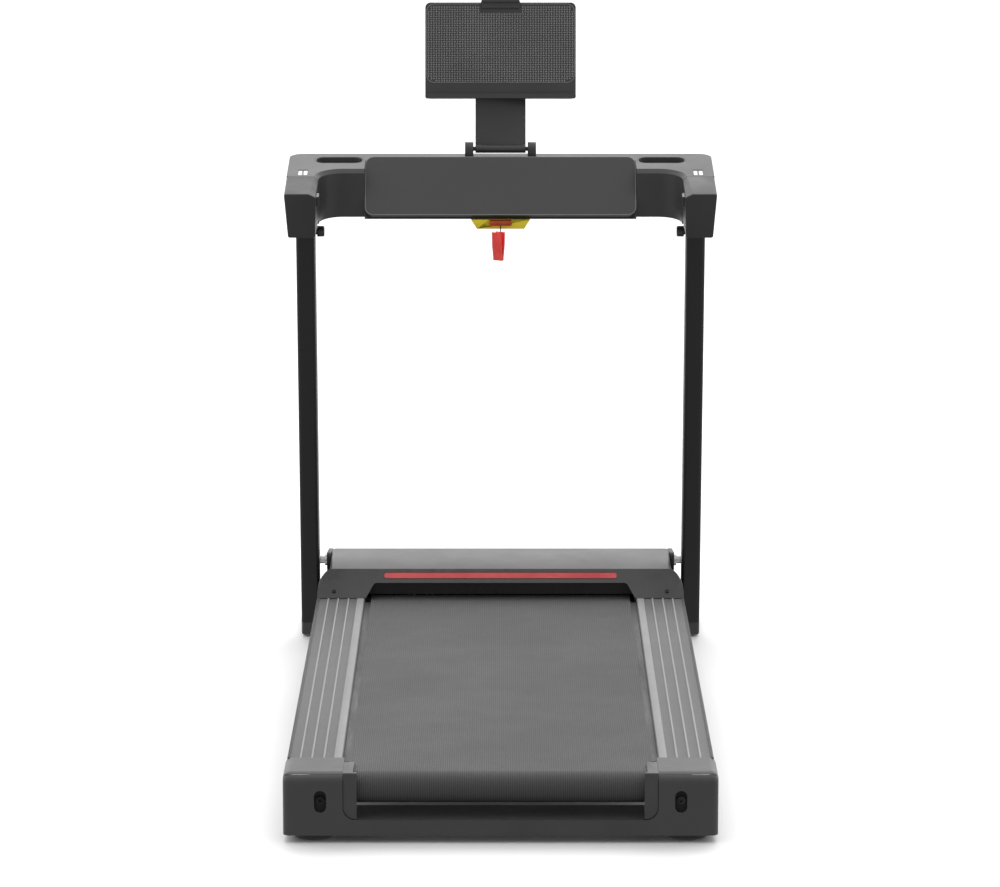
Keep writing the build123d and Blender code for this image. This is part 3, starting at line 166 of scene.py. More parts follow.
# %% Side lamps
def lamp(name, place, target, size, energy):
    """A square lamp that faces its target."""
    data = bpy.data.lights.new(name, "AREA")
    data.shape = "SQUARE"
    data.size = size
    data.energy = energy
    light = bpy.data.objects.new(name, data)
    light.location = place
    light.rotation_euler = (Vector(target) - Vector(place)).to_track_quat("-Z", "Y").to_euler()
    scene.collection.objects.link(light)
    return light


lamp("lamp_left", (-3.4, 0.6, 2.2), (0.0, 0.2, 0.5), 1.8, 26.0)
lamp("lamp_right", (3.4, 0.9, 1.8), (0.0, 0.2, 0.5), 1.8, 22.0)
print("two side lamps")

# %% [markdown]
# Moulded plastic, paint and rubber are never one flat colour. One shared node group gives
# a slow change of tone, a fine grain, and a roughness that follows both. Each finish places
# this group with its own sizes and colours.

# %% Shared surface group


def new_group(name, inputs, outputs):
    """An empty shader group with named float, colour or vector sockets."""
    tree = bpy.data.node_groups.new(name, "ShaderNodeTree")
    kinds = {"f": "NodeSocketFloat", "c": "NodeSocketColor", "v": "NodeSocketVector"}
    for label, kind in inputs:
        tree.interface.new_socket(label, in_out="INPUT", socket_type=kinds[kind])
    for label, kind in outputs:
        tree.interface.new_socket(label, in_out="OUTPUT", socket_type=kinds[kind])
    return tree, tree.nodes.new("NodeGroupInput"), tree.nodes.new("NodeGroupOutput")


def add_node(tree, kind, settings=None, **values):
    """A node with some of its settings and socket values set."""
    node = tree.nodes.new(kind)
    for key, value in (settings or {}).items():
        setattr(node, key, value)
    for key, value in values.items():
        node.inputs[key.replace("_", " ")].default_value = value
    return node


def maths(tree, operation, first, second):
    """A Math node with sockets or numbers on its two inputs."""
    node = tree.nodes.new("ShaderNodeMath")
    node.operation = operation
    for socket, value in zip(node.inputs, (first, second)):
        if isinstance(value, (int, float)):
            socket.default_value = value
        else:
            tree.links.new(value, socket)
    return node.outputs[0]


surface_group, given, made = new_group(
    "surface_variation",
    [("Vector", "v"), ("Clean", "c"), ("Worn", "c"), ("Patch Scale", "f"), ("Grain Scale", "f"),
     ("Roughness", "f"), ("Spread", "f")],
    [("Color", "c"), ("Roughness", "f"), ("Height", "f")],
)
patches = add_node(surface_group, "ShaderNodeTexNoise", Detail=5.0, Roughness=0.62)
grain = add_node(surface_group, "ShaderNodeTexNoise", Detail=2.0, Roughness=0.7)
spread_out = add_node(surface_group, "ShaderNodeMapRange", From_Min=0.36, From_Max=0.66)
tone = add_node(surface_group, "ShaderNodeMix", {"data_type": "RGBA"})
link = surface_group.links.new
for texture, scale in ((patches, "Patch Scale"), (grain, "Grain Scale")):
    link(given.outputs["Vector"], texture.inputs["Vector"])
    link(given.outputs[scale], texture.inputs["Scale"])
link(patches.outputs["Fac"], spread_out.inputs["Value"])
link(spread_out.outputs["Result"], tone.inputs["Factor"])
link(given.outputs["Clean"], tone.inputs["A"])
link(given.outputs["Worn"], tone.inputs["B"])
link(tone.outputs["Result"], made.inputs["Color"])
link(grain.outputs["Fac"], made.inputs["Height"])
patch_part = maths(surface_group, "SUBTRACT", spread_out.outputs["Result"], 0.5)
grain_part = maths(surface_group, "SUBTRACT", grain.outputs["Fac"], 0.5)
both_parts = maths(surface_group, "ADD", patch_part, grain_part)
rough_change = maths(surface_group, "MULTIPLY", both_parts, given.outputs["Spread"])
rough_sum = maths(surface_group, "ADD", rough_change, given.outputs["Roughness"])
link(rough_sum, made.inputs["Roughness"])
print("group sockets:", len(surface_group.interface.items_tree))

# %% [markdown]
# Dust settles on faces that look up. Its group reads the surface normal and a soft noise,
# and gives a mask that each finish can mix in.

# %% Dust group
dust_group, given, made = new_group(
    "settled_dust", [("Vector", "v"), ("Amount", "f")], [("Mask", "f")]
)
facing = add_node(dust_group, "ShaderNodeTexCoord")
split_normal = add_node(dust_group, "ShaderNodeSeparateXYZ")
dust_noise = add_node(dust_group, "ShaderNodeTexNoise", Scale=24.0, Detail=6.0, Roughness=0.75)
dust_level = add_node(dust_group, "ShaderNodeMapRange", From_Min=0.4, From_Max=0.8)
dust_group.links.new(given.outputs["Vector"], dust_noise.inputs["Vector"])
dust_group.links.new(facing.outputs["Normal"], split_normal.inputs["Vector"])
dust_group.links.new(dust_noise.outputs["Fac"], dust_level.inputs["Value"])
upward = maths(dust_group, "MAXIMUM", split_normal.outputs["Z"], 0.0)
dust_mask = maths(dust_group, "MULTIPLY", upward, dust_level.outputs["Result"])
dust_scaled = maths(dust_group, "MULTIPLY", dust_mask, given.outputs["Amount"])
dust_group.links.new(dust_scaled, made.inputs["Mask"])
print("dust group ready")

# %% [markdown]
# Every finish starts from the same recipe: object coordinates, the surface group, a bump from
# its grain, and the constants set straight on the shader.

# %% Finish recipe


def grey(value, tint=(1.0, 1.0, 1.0)):
    """A colour of one brightness, slightly tinted."""
    return (value * tint[0], value * tint[1], value * tint[2], 1.0)


def finish(name, clean, worn, roughness, spread=0.12, patch=9.0, grain_scale=900.0, depth=0.05,
           bump=0.3, metallic=0.0, coat=0.0, stretch=(1.0, 1.0, 1.0), dust=0.0, specular=0.5):
    """A material with tone, grain, roughness and bump from the shared groups."""
    look = bpy.data.materials.new(name)
    look.use_nodes = True
    tree = look.node_tree
    shader = tree.nodes["Principled BSDF"]
    shader.inputs["Metallic"].default_value = metallic
    shader.inputs["Coat Weight"].default_value = coat
    shader.inputs["Coat Roughness"].default_value = 0.12
    shader.inputs["Specular IOR Level"].default_value = specular
    place = add_node(tree, "ShaderNodeTexCoord")
    stretched = add_node(tree, "ShaderNodeMapping", Scale=stretch)
    group = add_node(tree, "ShaderNodeGroup", {"node_tree": surface_group, "name": "surface"})
    values = {"Clean": clean, "Worn": worn, "Patch Scale": patch, "Grain Scale": grain_scale,
              "Roughness": roughness, "Spread": spread}
    for key, value in values.items():
        group.inputs[key].default_value = value
    relief = add_node(
        tree, "ShaderNodeBump", {"name": "relief"}, Strength=bump, Distance=depth * MM
    )
    tree.links.new(place.outputs["Object"], stretched.inputs["Vector"])
    tree.links.new(stretched.outputs["Vector"], group.inputs["Vector"])
    tree.links.new(group.outputs["Roughness"], shader.inputs["Roughness"])
    tree.links.new(group.outputs["Height"], relief.inputs["Height"])
    tree.links.new(relief.outputs["Normal"], shader.inputs["Normal"])
    colour = group.outputs["Color"]
    if dust:
        settled = add_node(tree, "ShaderNodeGroup", {"node_tree": dust_group}, Amount=dust)
        dusty = add_node(tree, "ShaderNodeMix", {"data_type": "RGBA", "name": "dusty"})
        dusty.inputs["B"].default_value = grey(0.32, (1.0, 0.98, 0.95))
        tree.links.new(place.outputs["Object"], settled.inputs["Vector"])
        tree.links.new(settled.outputs["Mask"], dusty.inputs["Factor"])
        tree.links.new(colour, dusty.inputs["A"])
        colour = dusty.outputs["Result"]
    tree.links.new(colour, shader.inputs["Base Color"])
    return look


looks = {
    "shell_black": finish(
        "moulded_shell", grey(0.036), grey(0.044),
        roughness=0.42, spread=0.1, patch=7.0, grain_scale=1500.0, depth=0.06, bump=0.35,
        dust=0.04,
    ),
    "shell_gloss": finish(
        "satin_shell", grey(0.018), grey(0.024),
        roughness=0.3, spread=0.08, patch=6.0, grain_scale=1300.0, depth=0.04, bump=0.25,
        coat=0.1, dust=0.03,
    ),
    "frame_black": finish(
        "powder_coat", grey(0.005, (1, 0.98, 0.97)), grey(0.007),
        roughness=0.52, spread=0.1, patch=12.0, grain_scale=620.0, depth=0.1, bump=0.35,
    ),
    "black_steel": finish(
        "black_oxide", grey(0.02), grey(0.05),
        roughness=0.38, spread=0.2, patch=60.0, grain_scale=1400.0, depth=0.04, bump=0.3,
        metallic=1.0,
    ),
    "bright_steel": finish(
        "zinc_plate", grey(0.55), grey(0.68, (1, 0.99, 0.96)),
        roughness=0.3, spread=0.15, patch=40.0, grain_scale=700.0, depth=0.03, bump=0.2,
        metallic=1.0, stretch=(1, 1, 6),
    ),
    "roller_steel": finish(
        "turned_steel", grey(0.4), grey(0.52),
        roughness=0.3, spread=0.16, patch=30.0, grain_scale=260.0, depth=0.03, bump=0.25,
        metallic=1.0, stretch=(14, 1, 1),
    ),
    "foot_rubber": finish(
        "black_rubber", grey(0.014), grey(0.025),
        roughness=0.75, spread=0.15, patch=30.0, grain_scale=800.0, depth=0.12, bump=0.5,
        dust=0.08,
    ),
    "board_wood": finish(
        "deck_board", grey(0.012), grey(0.02, (1, 0.93, 0.85)),
        roughness=0.5, spread=0.2, patch=5.0, grain_scale=90.0, depth=0.2, bump=0.4,
        stretch=(6, 0.5, 10),
    ),
    "grip_black": finish(
        "soft_grip", grey(0.018), grey(0.024),
        roughness=0.46, spread=0.1, patch=10.0, grain_scale=1700.0, depth=0.09, bump=0.45,
        dust=0.04,
    ),
    "display_dark": finish(
        "display_window", grey(0.03), grey(0.035),
        roughness=0.42, spread=0.06, patch=4.0, grain_scale=1200.0, depth=0.02, bump=0.15,
        coat=0.1,
    ),
    "red_accent": finish(
        "red_insert", (0.42, 0.035, 0.04, 1), (0.5, 0.06, 0.06, 1),
        roughness=0.35, spread=0.1, patch=20.0, grain_scale=700.0, depth=0.03, bump=0.2,
    ),
    "motor_paint": finish(
        "motor_paint", grey(0.02), grey(0.045),
        roughness=0.35, spread=0.2, patch=20.0, grain_scale=500.0, depth=0.08, bump=0.3,
        dust=0.2,
    ),
    "circuit_green": finish(
        "circuit_lacquer", (0.015, 0.1, 0.035, 1), (0.03, 0.16, 0.06, 1),
        roughness=0.3, spread=0.2, patch=60.0, grain_scale=300.0, depth=0.1, bump=0.4,
        coat=0.3,
    ),
    "key_yellow": finish(
        "yellow_face", (0.9, 0.74, 0.03, 1), (0.95, 0.8, 0.05, 1),
        roughness=0.42, spread=0.1, patch=25.0, grain_scale=900.0, depth=0.03, bump=0.2,
    ),
    "key_orange": finish(
        "orange_key", (0.36, 0.04, 0.004, 1), (0.44, 0.07, 0.01, 1),
        roughness=0.35, spread=0.1, patch=40.0, grain_scale=900.0, depth=0.03, bump=0.2,
    ),
    "clip_red": finish(
        "red_clip", (0.86, 0.035, 0.03, 1), (0.95, 0.07, 0.05, 1),
        roughness=0.32, spread=0.1, patch=60.0, grain_scale=900.0, depth=0.03, bump=0.2,
        coat=0.2,
    ),
    "mat_weave": finish(
        "woven_mat", grey(0.2), grey(0.26),
        roughness=0.5, spread=0.1, patch=10.0, grain_scale=900.0, depth=0.06, bump=0.3,
    ),
    "print_white": finish(
        "printed_mark", grey(0.62), grey(0.75),
        roughness=0.45, spread=0.1, patch=60.0, grain_scale=900.0, depth=0.02, bump=0.2,
    ),
}
print("finishes:", len(looks))

# %% [markdown]
# The foot rails are grey plastic with a grainy tread between paler ridges. The ridges stand
# higher than the tread, so their height picks them out, and the outer side is dark.

# %% Foot rail finish
rail_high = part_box("right_foot_rail")[1]
RAIL_TOP = rail_high.z
RIDGE_FOOT, RIDGE_CREST = RAIL_TOP - 0.9 * MM, RAIL_TOP - 0.3 * MM
DARK_SIDE_FROM = rail_high.x - 5.0 * MM
rail_look = finish(
    "ribbed_rail", grey(0.052), grey(0.072),
    roughness=0.5, spread=0.1, patch=6.0, grain_scale=420.0, depth=0.5, bump=0.7,
)
looks["rail_grey"] = rail_look
tree = rail_look.node_tree
place = add_node(tree, "ShaderNodeTexCoord")
height = add_node(tree, "ShaderNodeSeparateXYZ")
ridge_mask = add_node(tree, "ShaderNodeMapRange", From_Min=RIDGE_FOOT, From_Max=RIDGE_CREST)
ridge_mix = add_node(tree, "ShaderNodeMix", {"data_type": "RGBA"})
ridge_mix.inputs["B"].default_value = grey(0.19)
tree.links.new(place.outputs["Object"], height.inputs["Vector"])
tree.links.new(height.outputs["Z"], ridge_mask.inputs["Value"])
tree.links.new(ridge_mask.outputs["Result"], ridge_mix.inputs["Factor"])
tree.links.new(tree.nodes["surface"].outputs["Color"], ridge_mix.inputs["A"])
distance_out = maths(tree, "ABSOLUTE", height.outputs["X"], 0.0)
outer_mask = maths(tree, "GREATER_THAN", distance_out, DARK_SIDE_FROM)
side_mix = add_node(tree, "ShaderNodeMix", {"data_type": "RGBA"})
side_mix.inputs["B"].default_value = grey(0.02)
tree.links.new(outer_mask, side_mix.inputs["Factor"])
tree.links.new(ridge_mix.outputs["Result"], side_mix.inputs["A"])
tree.links.new(side_mix.outputs["Result"], tree.nodes["Principled BSDF"].inputs["Base Color"])
print("rail top at", round(RAIL_TOP, 4), "outer side dark from", round(DARK_SIDE_FROM, 4))

# %% Cord finish
looks["cord_black"] = finish(
    "braided_cord", grey(0.012), grey(0.03),
    roughness=0.7, spread=0.1, patch=400.0, grain_scale=2600.0, depth=0.2, bump=0.8,
)
safety_cord.data.materials.append(looks["cord_black"])

# %% [markdown]
# The running belt is one endless loop round two rollers. It is built as its own loop, with
# a map whose second coordinate is the distance along the belt, so that the embossed
# pattern follows the belt round the rollers instead of stretching there.

# %% Running belt
belt_low, belt_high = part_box("running_belt")
BELT_THICKNESS = 2.2 * MM
loop_radius = (belt_high.z - belt_low.z) / 2
loop_z = (belt_high.z + belt_low.z) / 2
rear_centre = belt_low.y + loop_radius
front_centre = belt_high.y - loop_radius
belt_half = belt_high.x
ARC_STEPS = 40
RUN_STEPS = 48


def loop_points(radius):
    """(y, z, distance) round the belt at that radius, with the distance of the outer face."""
    points = []
    run = front_centre - rear_centre
    for step in range(RUN_STEPS):
        part = step / RUN_STEPS
        points.append((rear_centre + run * part, loop_z + radius, run * part))
    for step in range(ARC_STEPS):
        turn = math.pi * step / ARC_STEPS
        points.append((front_centre + radius * math.sin(turn), loop_z + radius * math.cos(turn),
                       run + loop_radius * turn))
    half_way = run + loop_radius * math.pi
    for step in range(RUN_STEPS):
        part = step / RUN_STEPS
        points.append((front_centre - run * part, loop_z - radius, half_way + run * part))
    for step in range(ARC_STEPS):
        turn = math.pi * step / ARC_STEPS
        points.append((rear_centre - radius * math.sin(turn), loop_z - radius * math.cos(turn),
                       half_way + run + loop_radius * turn))
    return points


belt_total = 2 * (front_centre - rear_centre) + 2 * math.pi * loop_radius
outer_ring, inner_ring = loop_points(loop_radius), loop_points(loop_radius - BELT_THICKNESS)
belt_mesh = bpy.data.meshes.new("embossed_belt")
belt_shape = bmesh.new()
belt_map = belt_shape.loops.layers.uv.new("belt")
columns = [
    (-belt_half, outer_ring),
    (belt_half, outer_ring),
    (belt_half, inner_ring),
    (-belt_half, inner_ring),
]
rings = [[belt_shape.verts.new((x, y, z)) for y, z, _ in ring] for x, ring in columns]
count = len(outer_ring)
for strip in range(4):
    first, second = rings[strip], rings[(strip + 1) % 4]
    edges = (columns[strip][0], columns[(strip + 1) % 4][0])
    for i in range(count):
        j = (i + 1) % count
        face = belt_shape.faces.new((first[i], second[i], second[j], first[j]))
        face.smooth = strip in (0, 2)
        start = outer_ring[i][2]
        end = outer_ring[j][2] if j else belt_total
        spots = ((edges[0], start), (edges[1], start), (edges[1], end), (edges[0], end))
        for corner, spot in zip(face.loops, spots):
            corner[belt_map].uv = spot
bmesh.ops.recalc_face_normals(belt_shape, faces=belt_shape.faces)
for edge in belt_shape.edges:
    if len(edge.link_faces) == 2 and edge.calc_face_angle(0.0) > 0.6:
        edge.smooth = False
belt_shape.to_mesh(belt_mesh)
belt_shape.free()
embossed_belt = bpy.data.objects.new("embossed_belt", belt_mesh)
scene.collection.objects.link(embossed_belt)
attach(embossed_belt, "deck")
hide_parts("running_belt")
print("belt loop", round(belt_total, 3), "m,", count, "steps")

# %% [markdown]
# The belt's face is embossed with rows of small raised diamonds. Two waves across and
# along the belt multiply into that lattice, and the raised tops are paler from use.

# %% Belt finish
DIAMOND_ACROSS, DIAMOND_ALONG = 3.6 * MM, 3.0 * MM
belt_look = finish(
    "embossed_rubber", grey(0.012), grey(0.016),
    roughness=0.66, spread=0.1, patch=5.0, grain_scale=700.0, depth=0.15, bump=0.4,
)
looks["belt_rubber"] = belt_look
tree = belt_look.node_tree
belt_uv = add_node(tree, "ShaderNodeUVMap", {"uv_map": "belt"})
across_along = add_node(tree, "ShaderNodeSeparateXYZ")
tree.links.new(belt_uv.outputs["UV"], across_along.inputs["Vector"])
turns_across = maths(tree, "MULTIPLY", across_along.outputs["X"], 2 * math.pi / DIAMOND_ACROSS)
turns_along = maths(tree, "MULTIPLY", across_along.outputs["Y"], 2 * math.pi / DIAMOND_ALONG)
across = maths(tree, "COSINE", turns_across, 0.0)
along = maths(tree, "COSINE", turns_along, 0.0)
diamonds = maths(tree, "MULTIPLY", maths(tree, "MULTIPLY", across, along), 0.5)
lattice = maths(tree, "ADD", diamonds, maths(tree, "MULTIPLY", across, 0.35))
raised = add_node(tree, "ShaderNodeMapRange", From_Min=-0.5, From_Max=0.7)
tree.links.new(lattice, raised.inputs["Value"])
worn_tops = add_node(tree, "ShaderNodeMix", {"data_type": "RGBA"})
worn_tops.inputs["B"].default_value = grey(0.075)
tree.links.new(raised.outputs["Result"], worn_tops.inputs["Factor"])
tree.links.new(tree.nodes["surface"].outputs["Color"], worn_tops.inputs["A"])
tree.links.new(worn_tops.outputs["Result"], tree.nodes["Principled BSDF"].inputs["Base Color"])
tree.links.new(raised.outputs["Result"], tree.nodes["relief"].inputs["Height"])
tree.nodes["relief"].inputs["Distance"].default_value = 0.5 * MM
tree.nodes["relief"].inputs["Strength"].default_value = 0.9
belt_mesh.materials.append(belt_look)
print("belt pattern every", round(DIAMOND_ACROSS / MM, 1), "mm")

# %% [markdown]
# A moulded or bent part has small rounded edges that catch the light. Each such part is a copy
# of its solid, with its triangles merged and its sharp edges bevelled, and it stands for
# the node. The bevel only takes material away, so the part keeps its size.

# %% Rounded edges
SLOT_OF = {row["node"]: row["material_slot"] for row in frame["record"]["subparts"]}
BODY_OF = {
    name: body for body, names in frame["record"]["behaviour"]["bodies"].items() for name in names
}


def settle(piece, body, look, slot_name, *stands_for):
    """Gives a finished piece its material, its body and what it stands for."""
    piece.data.materials.clear()
    piece.data.materials.append(looks[look] if isinstance(look, str) else look)
    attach(piece, body)
    if stands_for:
        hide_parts(*stands_for)
    return piece


def made_plain(piece):
    """The evaluated mesh takes the place of the modifiers."""
    evaluated = piece.evaluated_get(bpy.context.evaluated_depsgraph_get())
    plain = bpy.data.meshes.new_from_object(evaluated)
    piece.modifiers.clear()
    piece.data = plain
    return piece


MERGED_FLAT, SMOOTH_BEND, SHARP_BEND = math.radians(0.6), math.radians(24.0), math.radians(32.0)
ROUND_SEGMENTS = 3


def soften(name, width):
    """A copy of a CAD solid with merged corners and rounded edges."""
    mesh = nodes[name].data.copy()
    piece = bpy.data.objects.new(name + "_rounded", mesh)
    scene.collection.objects.link(piece)
    shape = bmesh.new()
    shape.from_mesh(mesh)
    bmesh.ops.remove_doubles(shape, verts=shape.verts, dist=1e-6)
    bmesh.ops.dissolve_limit(shape, angle_limit=MERGED_FLAT, verts=shape.verts, edges=shape.edges)
    weight = shape.edges.layers.float.new("bevel_weight_edge")
    for edge in shape.edges:
        bend = edge.calc_face_angle(0.0) if len(edge.link_faces) == 2 else 0.0
        sharp = bend > SHARP_BEND
        edge[weight] = 1.0 if sharp else 0.0
        edge.smooth = bend < SMOOTH_BEND or sharp
    shape.to_mesh(mesh)
    shape.free()
    mesh.shade_smooth()
    bevel = piece.modifiers.new("round", "BEVEL")
    bevel.width = width * MM
    bevel.segments = ROUND_SEGMENTS
    bevel.limit_method = "WEIGHT"
    bevel.use_clamp_overlap = False
    bevel.miter_outer = "MITER_SHARP"
    bevel.harden_normals = True
    made_plain(piece)
    settle(piece, BODY_OF[name], SLOT_OF[name], SLOT_OF[name], name)
    return piece


ROUNDED = {
    "motor_hood": 1.6, "tablet_clamp": 0.8, "tablet_neck": 0.8, "tablet_bracket": 0.8,
    "belt_guides": 1.0, "right_grip": 0.8, "left_grip": 0.8, "right_foot_rail": 0.35,
    "left_foot_rail": 0.35, "upright_shoes": 1.0, "safety_key": 0.8, "clip_body": 0.5,
    "clip_jaw": 0.5, "key_seat": 0.6, "console_knobs": 0.6, "storage_trays": 0.6,
    "lock_plunger": 0.5, "pivot_plates": 0.6,
}
for part, width in ROUNDED.items():
    rounded = soften(part, width)
    print(part, len(rounded.data.polygons), "faces")

# %% [markdown]
# All other solids keep their own meshes and only take their finish.

# %% Finishes on the solids
for name, node in nodes.items():
    node.data.materials.clear()
    node.data.materials.append(looks[SLOT_OF[name]])
print("solids finished:", len(nodes))

# %% [markdown]
# The tablet rest wears a rubber mat with a basket weave. It is a lattice of small strands,
# upright on even cells and lying on odd ones. Geometry Nodes stand one strand on every
# place. The piece, its size and its finish are inputs, and the result is one plain mesh.

# %% Tools for repeated pieces


def point_cloud(name, places, turns):
    """A mesh of loose points that hold the turn of what stands on them."""
    mesh = bpy.data.meshes.new(name)
    mesh.from_pydata(places, [], [])
    turn = mesh.attributes.new("turn", "FLOAT_VECTOR", "POINT")
    turn.data.foreach_set("vector", [value for angles in turns for value in angles])
    piece = bpy.data.objects.new(name, mesh)
    scene.collection.objects.link(piece)
    return piece


def placing_tree():
    """Geometry Nodes that stand a chosen object on every point, at a size, and join them."""
    tree = bpy.data.node_groups.new("stand_on_points", "GeometryNodeTree")
    face = tree.interface
    face.new_socket("Geometry", in_out="INPUT", socket_type="NodeSocketGeometry")
    face.new_socket("Piece", in_out="INPUT", socket_type="NodeSocketObject")
    face.new_socket("Size", in_out="INPUT", socket_type="NodeSocketFloat")
    face.new_socket("Finish", in_out="INPUT", socket_type="NodeSocketMaterial")
    face.new_socket("Geometry", in_out="OUTPUT", socket_type="NodeSocketGeometry")
    given, made = tree.nodes.new("NodeGroupInput"), tree.nodes.new("NodeGroupOutput")
    points = tree.nodes.new("GeometryNodeMeshToPoints")
    source = tree.nodes.new("GeometryNodeObjectInfo")
    turn = tree.nodes.new("GeometryNodeInputNamedAttribute")
    turn.data_type = "FLOAT_VECTOR"
    turn.inputs["Name"].default_value = "turn"
    as_rotation = tree.nodes.new("FunctionNodeEulerToRotation")
    stand = tree.nodes.new("GeometryNodeInstanceOnPoints")
    real = tree.nodes.new("GeometryNodeRealizeInstances")
    paint = tree.nodes.new("GeometryNodeSetMaterial")
    wires = [
        (given.outputs["Geometry"], points.inputs["Mesh"]),
        (given.outputs["Piece"], source.inputs["Object"]),
        (points.outputs["Points"], stand.inputs["Points"]),
        (source.outputs["Geometry"], stand.inputs["Instance"]),
        (turn.outputs["Attribute"], as_rotation.inputs["Euler"]),
        (as_rotation.outputs["Rotation"], stand.inputs["Rotation"]),
        (given.outputs["Size"], stand.inputs["Scale"]),
        (stand.outputs["Instances"], real.inputs["Geometry"]),
        (real.outputs["Geometry"], paint.inputs["Geometry"]),
        (given.outputs["Finish"], paint.inputs["Material"]),
        (paint.outputs["Geometry"], made.inputs["Geometry"]),
    ]
    for start, end in wires:
        tree.links.new(start, end)
    return tree


stand_on_points = placing_tree()


def repeat(name, places, turns, template, body, slot_name, size=1.0, look=None):
    """One piece made of a template stood on every place."""
    cloud = point_cloud(name, places, turns)
    modifier = cloud.modifiers.new("stand", "NODES")
    modifier.node_group = stand_on_points
    inputs = {"Piece": template, "Size": size, "Finish": looks[look or slot_name]}
    for item in stand_on_points.interface.items_tree:
        if item.in_out == "INPUT" and item.name in inputs:
            modifier[item.identifier] = inputs[item.name]
    made_plain(cloud)
    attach(cloud, body)
    print(name, len(places), "places,", len(cloud.data.polygons), "faces")
    return cloud


def template_from(name, shape):
    """A template object from a bmesh, removed once it has been repeated."""
    bmesh.ops.recalc_face_normals(shape, faces=shape.faces)
    mesh = bpy.data.meshes.new(name)
    shape.to_mesh(mesh)
    shape.free()
    piece = bpy.data.objects.new(name, mesh)
    scene.collection.objects.link(piece)
    return piece


def drop(template):
    """Removes a template."""
    bpy.data.objects.remove(template)


sockets = stand_on_points.interface.items_tree
print("inputs:", [socket.name for socket in sockets if socket.in_out == "INPUT"])

# %% [markdown]
# A strand is a small closed block with sloped shoulders. The rest leans back, so a helper
# turns heights along the rest into places in the room.

# %% Basket weave mat
HINGE_Y, HINGE_Z = 0.571297, 0.980163
REST_LEAN = math.radians(10.0)
REST_FACE = 5.0 * MM
rest_up = Vector((0.0, math.sin(REST_LEAN), math.cos(REST_LEAN)))
rest_out = Vector((0.0, -math.cos(REST_LEAN), math.sin(REST_LEAN)))


def on_rest(x, height, lift=0.0):
    """A place on the rest's face, in millimetres across, up from the hinge, and out."""
    hinge = Vector((x * MM, HINGE_Y, HINGE_Z))
    return hinge + rest_up * height * MM + rest_out * (REST_FACE + lift * MM)


def strand_template(half_width, half_length, rise):
    """A closed block with sloped shoulders, standing along Z with its face to -Y."""
    shape = bmesh.new()
    outline = [(-1, -1), (1, -1), (1, 1), (-1, 1)]
    levels = [(1.0, 0.0), (1.0, 0.45), (0.62, 1.0)]
    rings = [
        [
            shape.verts.new(
                (x * half_width * share, -rise * level, z * half_length * (0.5 + share / 2))
            )
            for x, z in outline
        ]
        for share, level in levels
    ]
    for low, high in zip(rings, rings[1:]):
        for i in range(4):
            shape.faces.new((low[i], low[(i + 1) % 4], high[(i + 1) % 4], high[i]))
    shape.faces.new(rings[0])
    shape.faces.new(rings[-1])
    return template_from("strand", shape)


MAT_HALF, MAT_LOW, MAT_HIGH, MAT_CORNER = 138.0, 129.5, 273.5, 12.0
MAT_MIDDLE = (MAT_LOW + MAT_HIGH) / 2
CELL_ACROSS, CELL_UP = 5.0, 4.4
strand = strand_template(1.0 * MM, 2.05 * MM, 1.2 * MM)
lean_back = Matrix.Rotation(-REST_LEAN, 3, "X")
upright_turn = tuple(lean_back.to_euler())
lying_turn = tuple((lean_back @ Matrix.Rotation(math.pi / 2, 3, "Y")).to_euler())
cells_across = int(2 * MAT_HALF / CELL_ACROSS)
cells_up = int((MAT_HIGH - MAT_LOW) / CELL_UP)
CLAMP_HALF, CLAMP_LOW = 40.0, 258.0
weave_places, weave_turns = [], []
for column in range(cells_across + 1):
    for row in range(cells_up + 1):
        x = (column - cells_across / 2) * CELL_ACROSS
        height = MAT_LOW + row * CELL_UP
        past_side = abs(x) - (MAT_HALF - MAT_CORNER)
        past_top = abs(height - MAT_MIDDLE) - ((MAT_HIGH - MAT_LOW) / 2 - MAT_CORNER)
        cut_corner = past_side > 0 and past_top > 0 and math.hypot(past_side, past_top) > MAT_CORNER
        under_clamp = abs(x) < CLAMP_HALF and height > CLAMP_LOW
        if cut_corner or under_clamp:
            continue
        weave_places.append(on_rest(x, height, -0.1))
        weave_turns.append(upright_turn if (column + row) % 2 == 0 else lying_turn)
repeat(
    "weave_mat", weave_places, weave_turns, strand, "tablet_arm", "shell_black", look="mat_weave"
)
drop(strand)

# %% [markdown]
# Thin beads and frames are swept tubes. A closed curve with a round bevel becomes a mesh at
# once, so that it has its place in its own points.

# %% Swept beads


def bead(name, points, radius, body, slot_name, closed=True, look=None, sides=3):
    """A round bead along straight runs."""
    curve = bpy.data.curves.new(name, "CURVE")
    curve.dimensions = "3D"
    line = curve.splines.new("POLY")
    line.points.add(len(points) - 1)
    for point, place in zip(line.points, points):
        point.co = (*place, 1.0)
    line.use_cyclic_u = closed
    curve.bevel_depth = radius
    curve.bevel_resolution = sides
    curve.use_fill_caps = not closed
    piece = bpy.data.objects.new(name, curve)
    scene.collection.objects.link(piece)
    evaluated = piece.evaluated_get(bpy.context.evaluated_depsgraph_get())
    mesh = bpy.data.meshes.new_from_object(evaluated)
    bpy.data.objects.remove(piece)
    mesh.shade_smooth()
    piece = bpy.data.objects.new(name, mesh)
    scene.collection.objects.link(piece)
    piece.data.materials.clear()
    piece.data.materials.append(looks[look or slot_name])
    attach(piece, body)
    return piece


def rounded_frame(half, low, high, corner, place, steps=6):
    """Places round a rectangle with round corners."""
    corners = [(half, high, 0), (-half, high, 90), (-half, low, 180), (half, low, 270)]
    points = []
    for x, y, start in corners:
        centre_x = x - math.copysign(corner, x)
        centre_y = y - corner if y == high else y + corner
        for step in range(steps + 1):
            turn = math.radians(start + 90 * step / steps)
            x_now = centre_x + corner * math.cos(turn)
            points.append(place(x_now, centre_y + corner * math.sin(turn)))
    return points


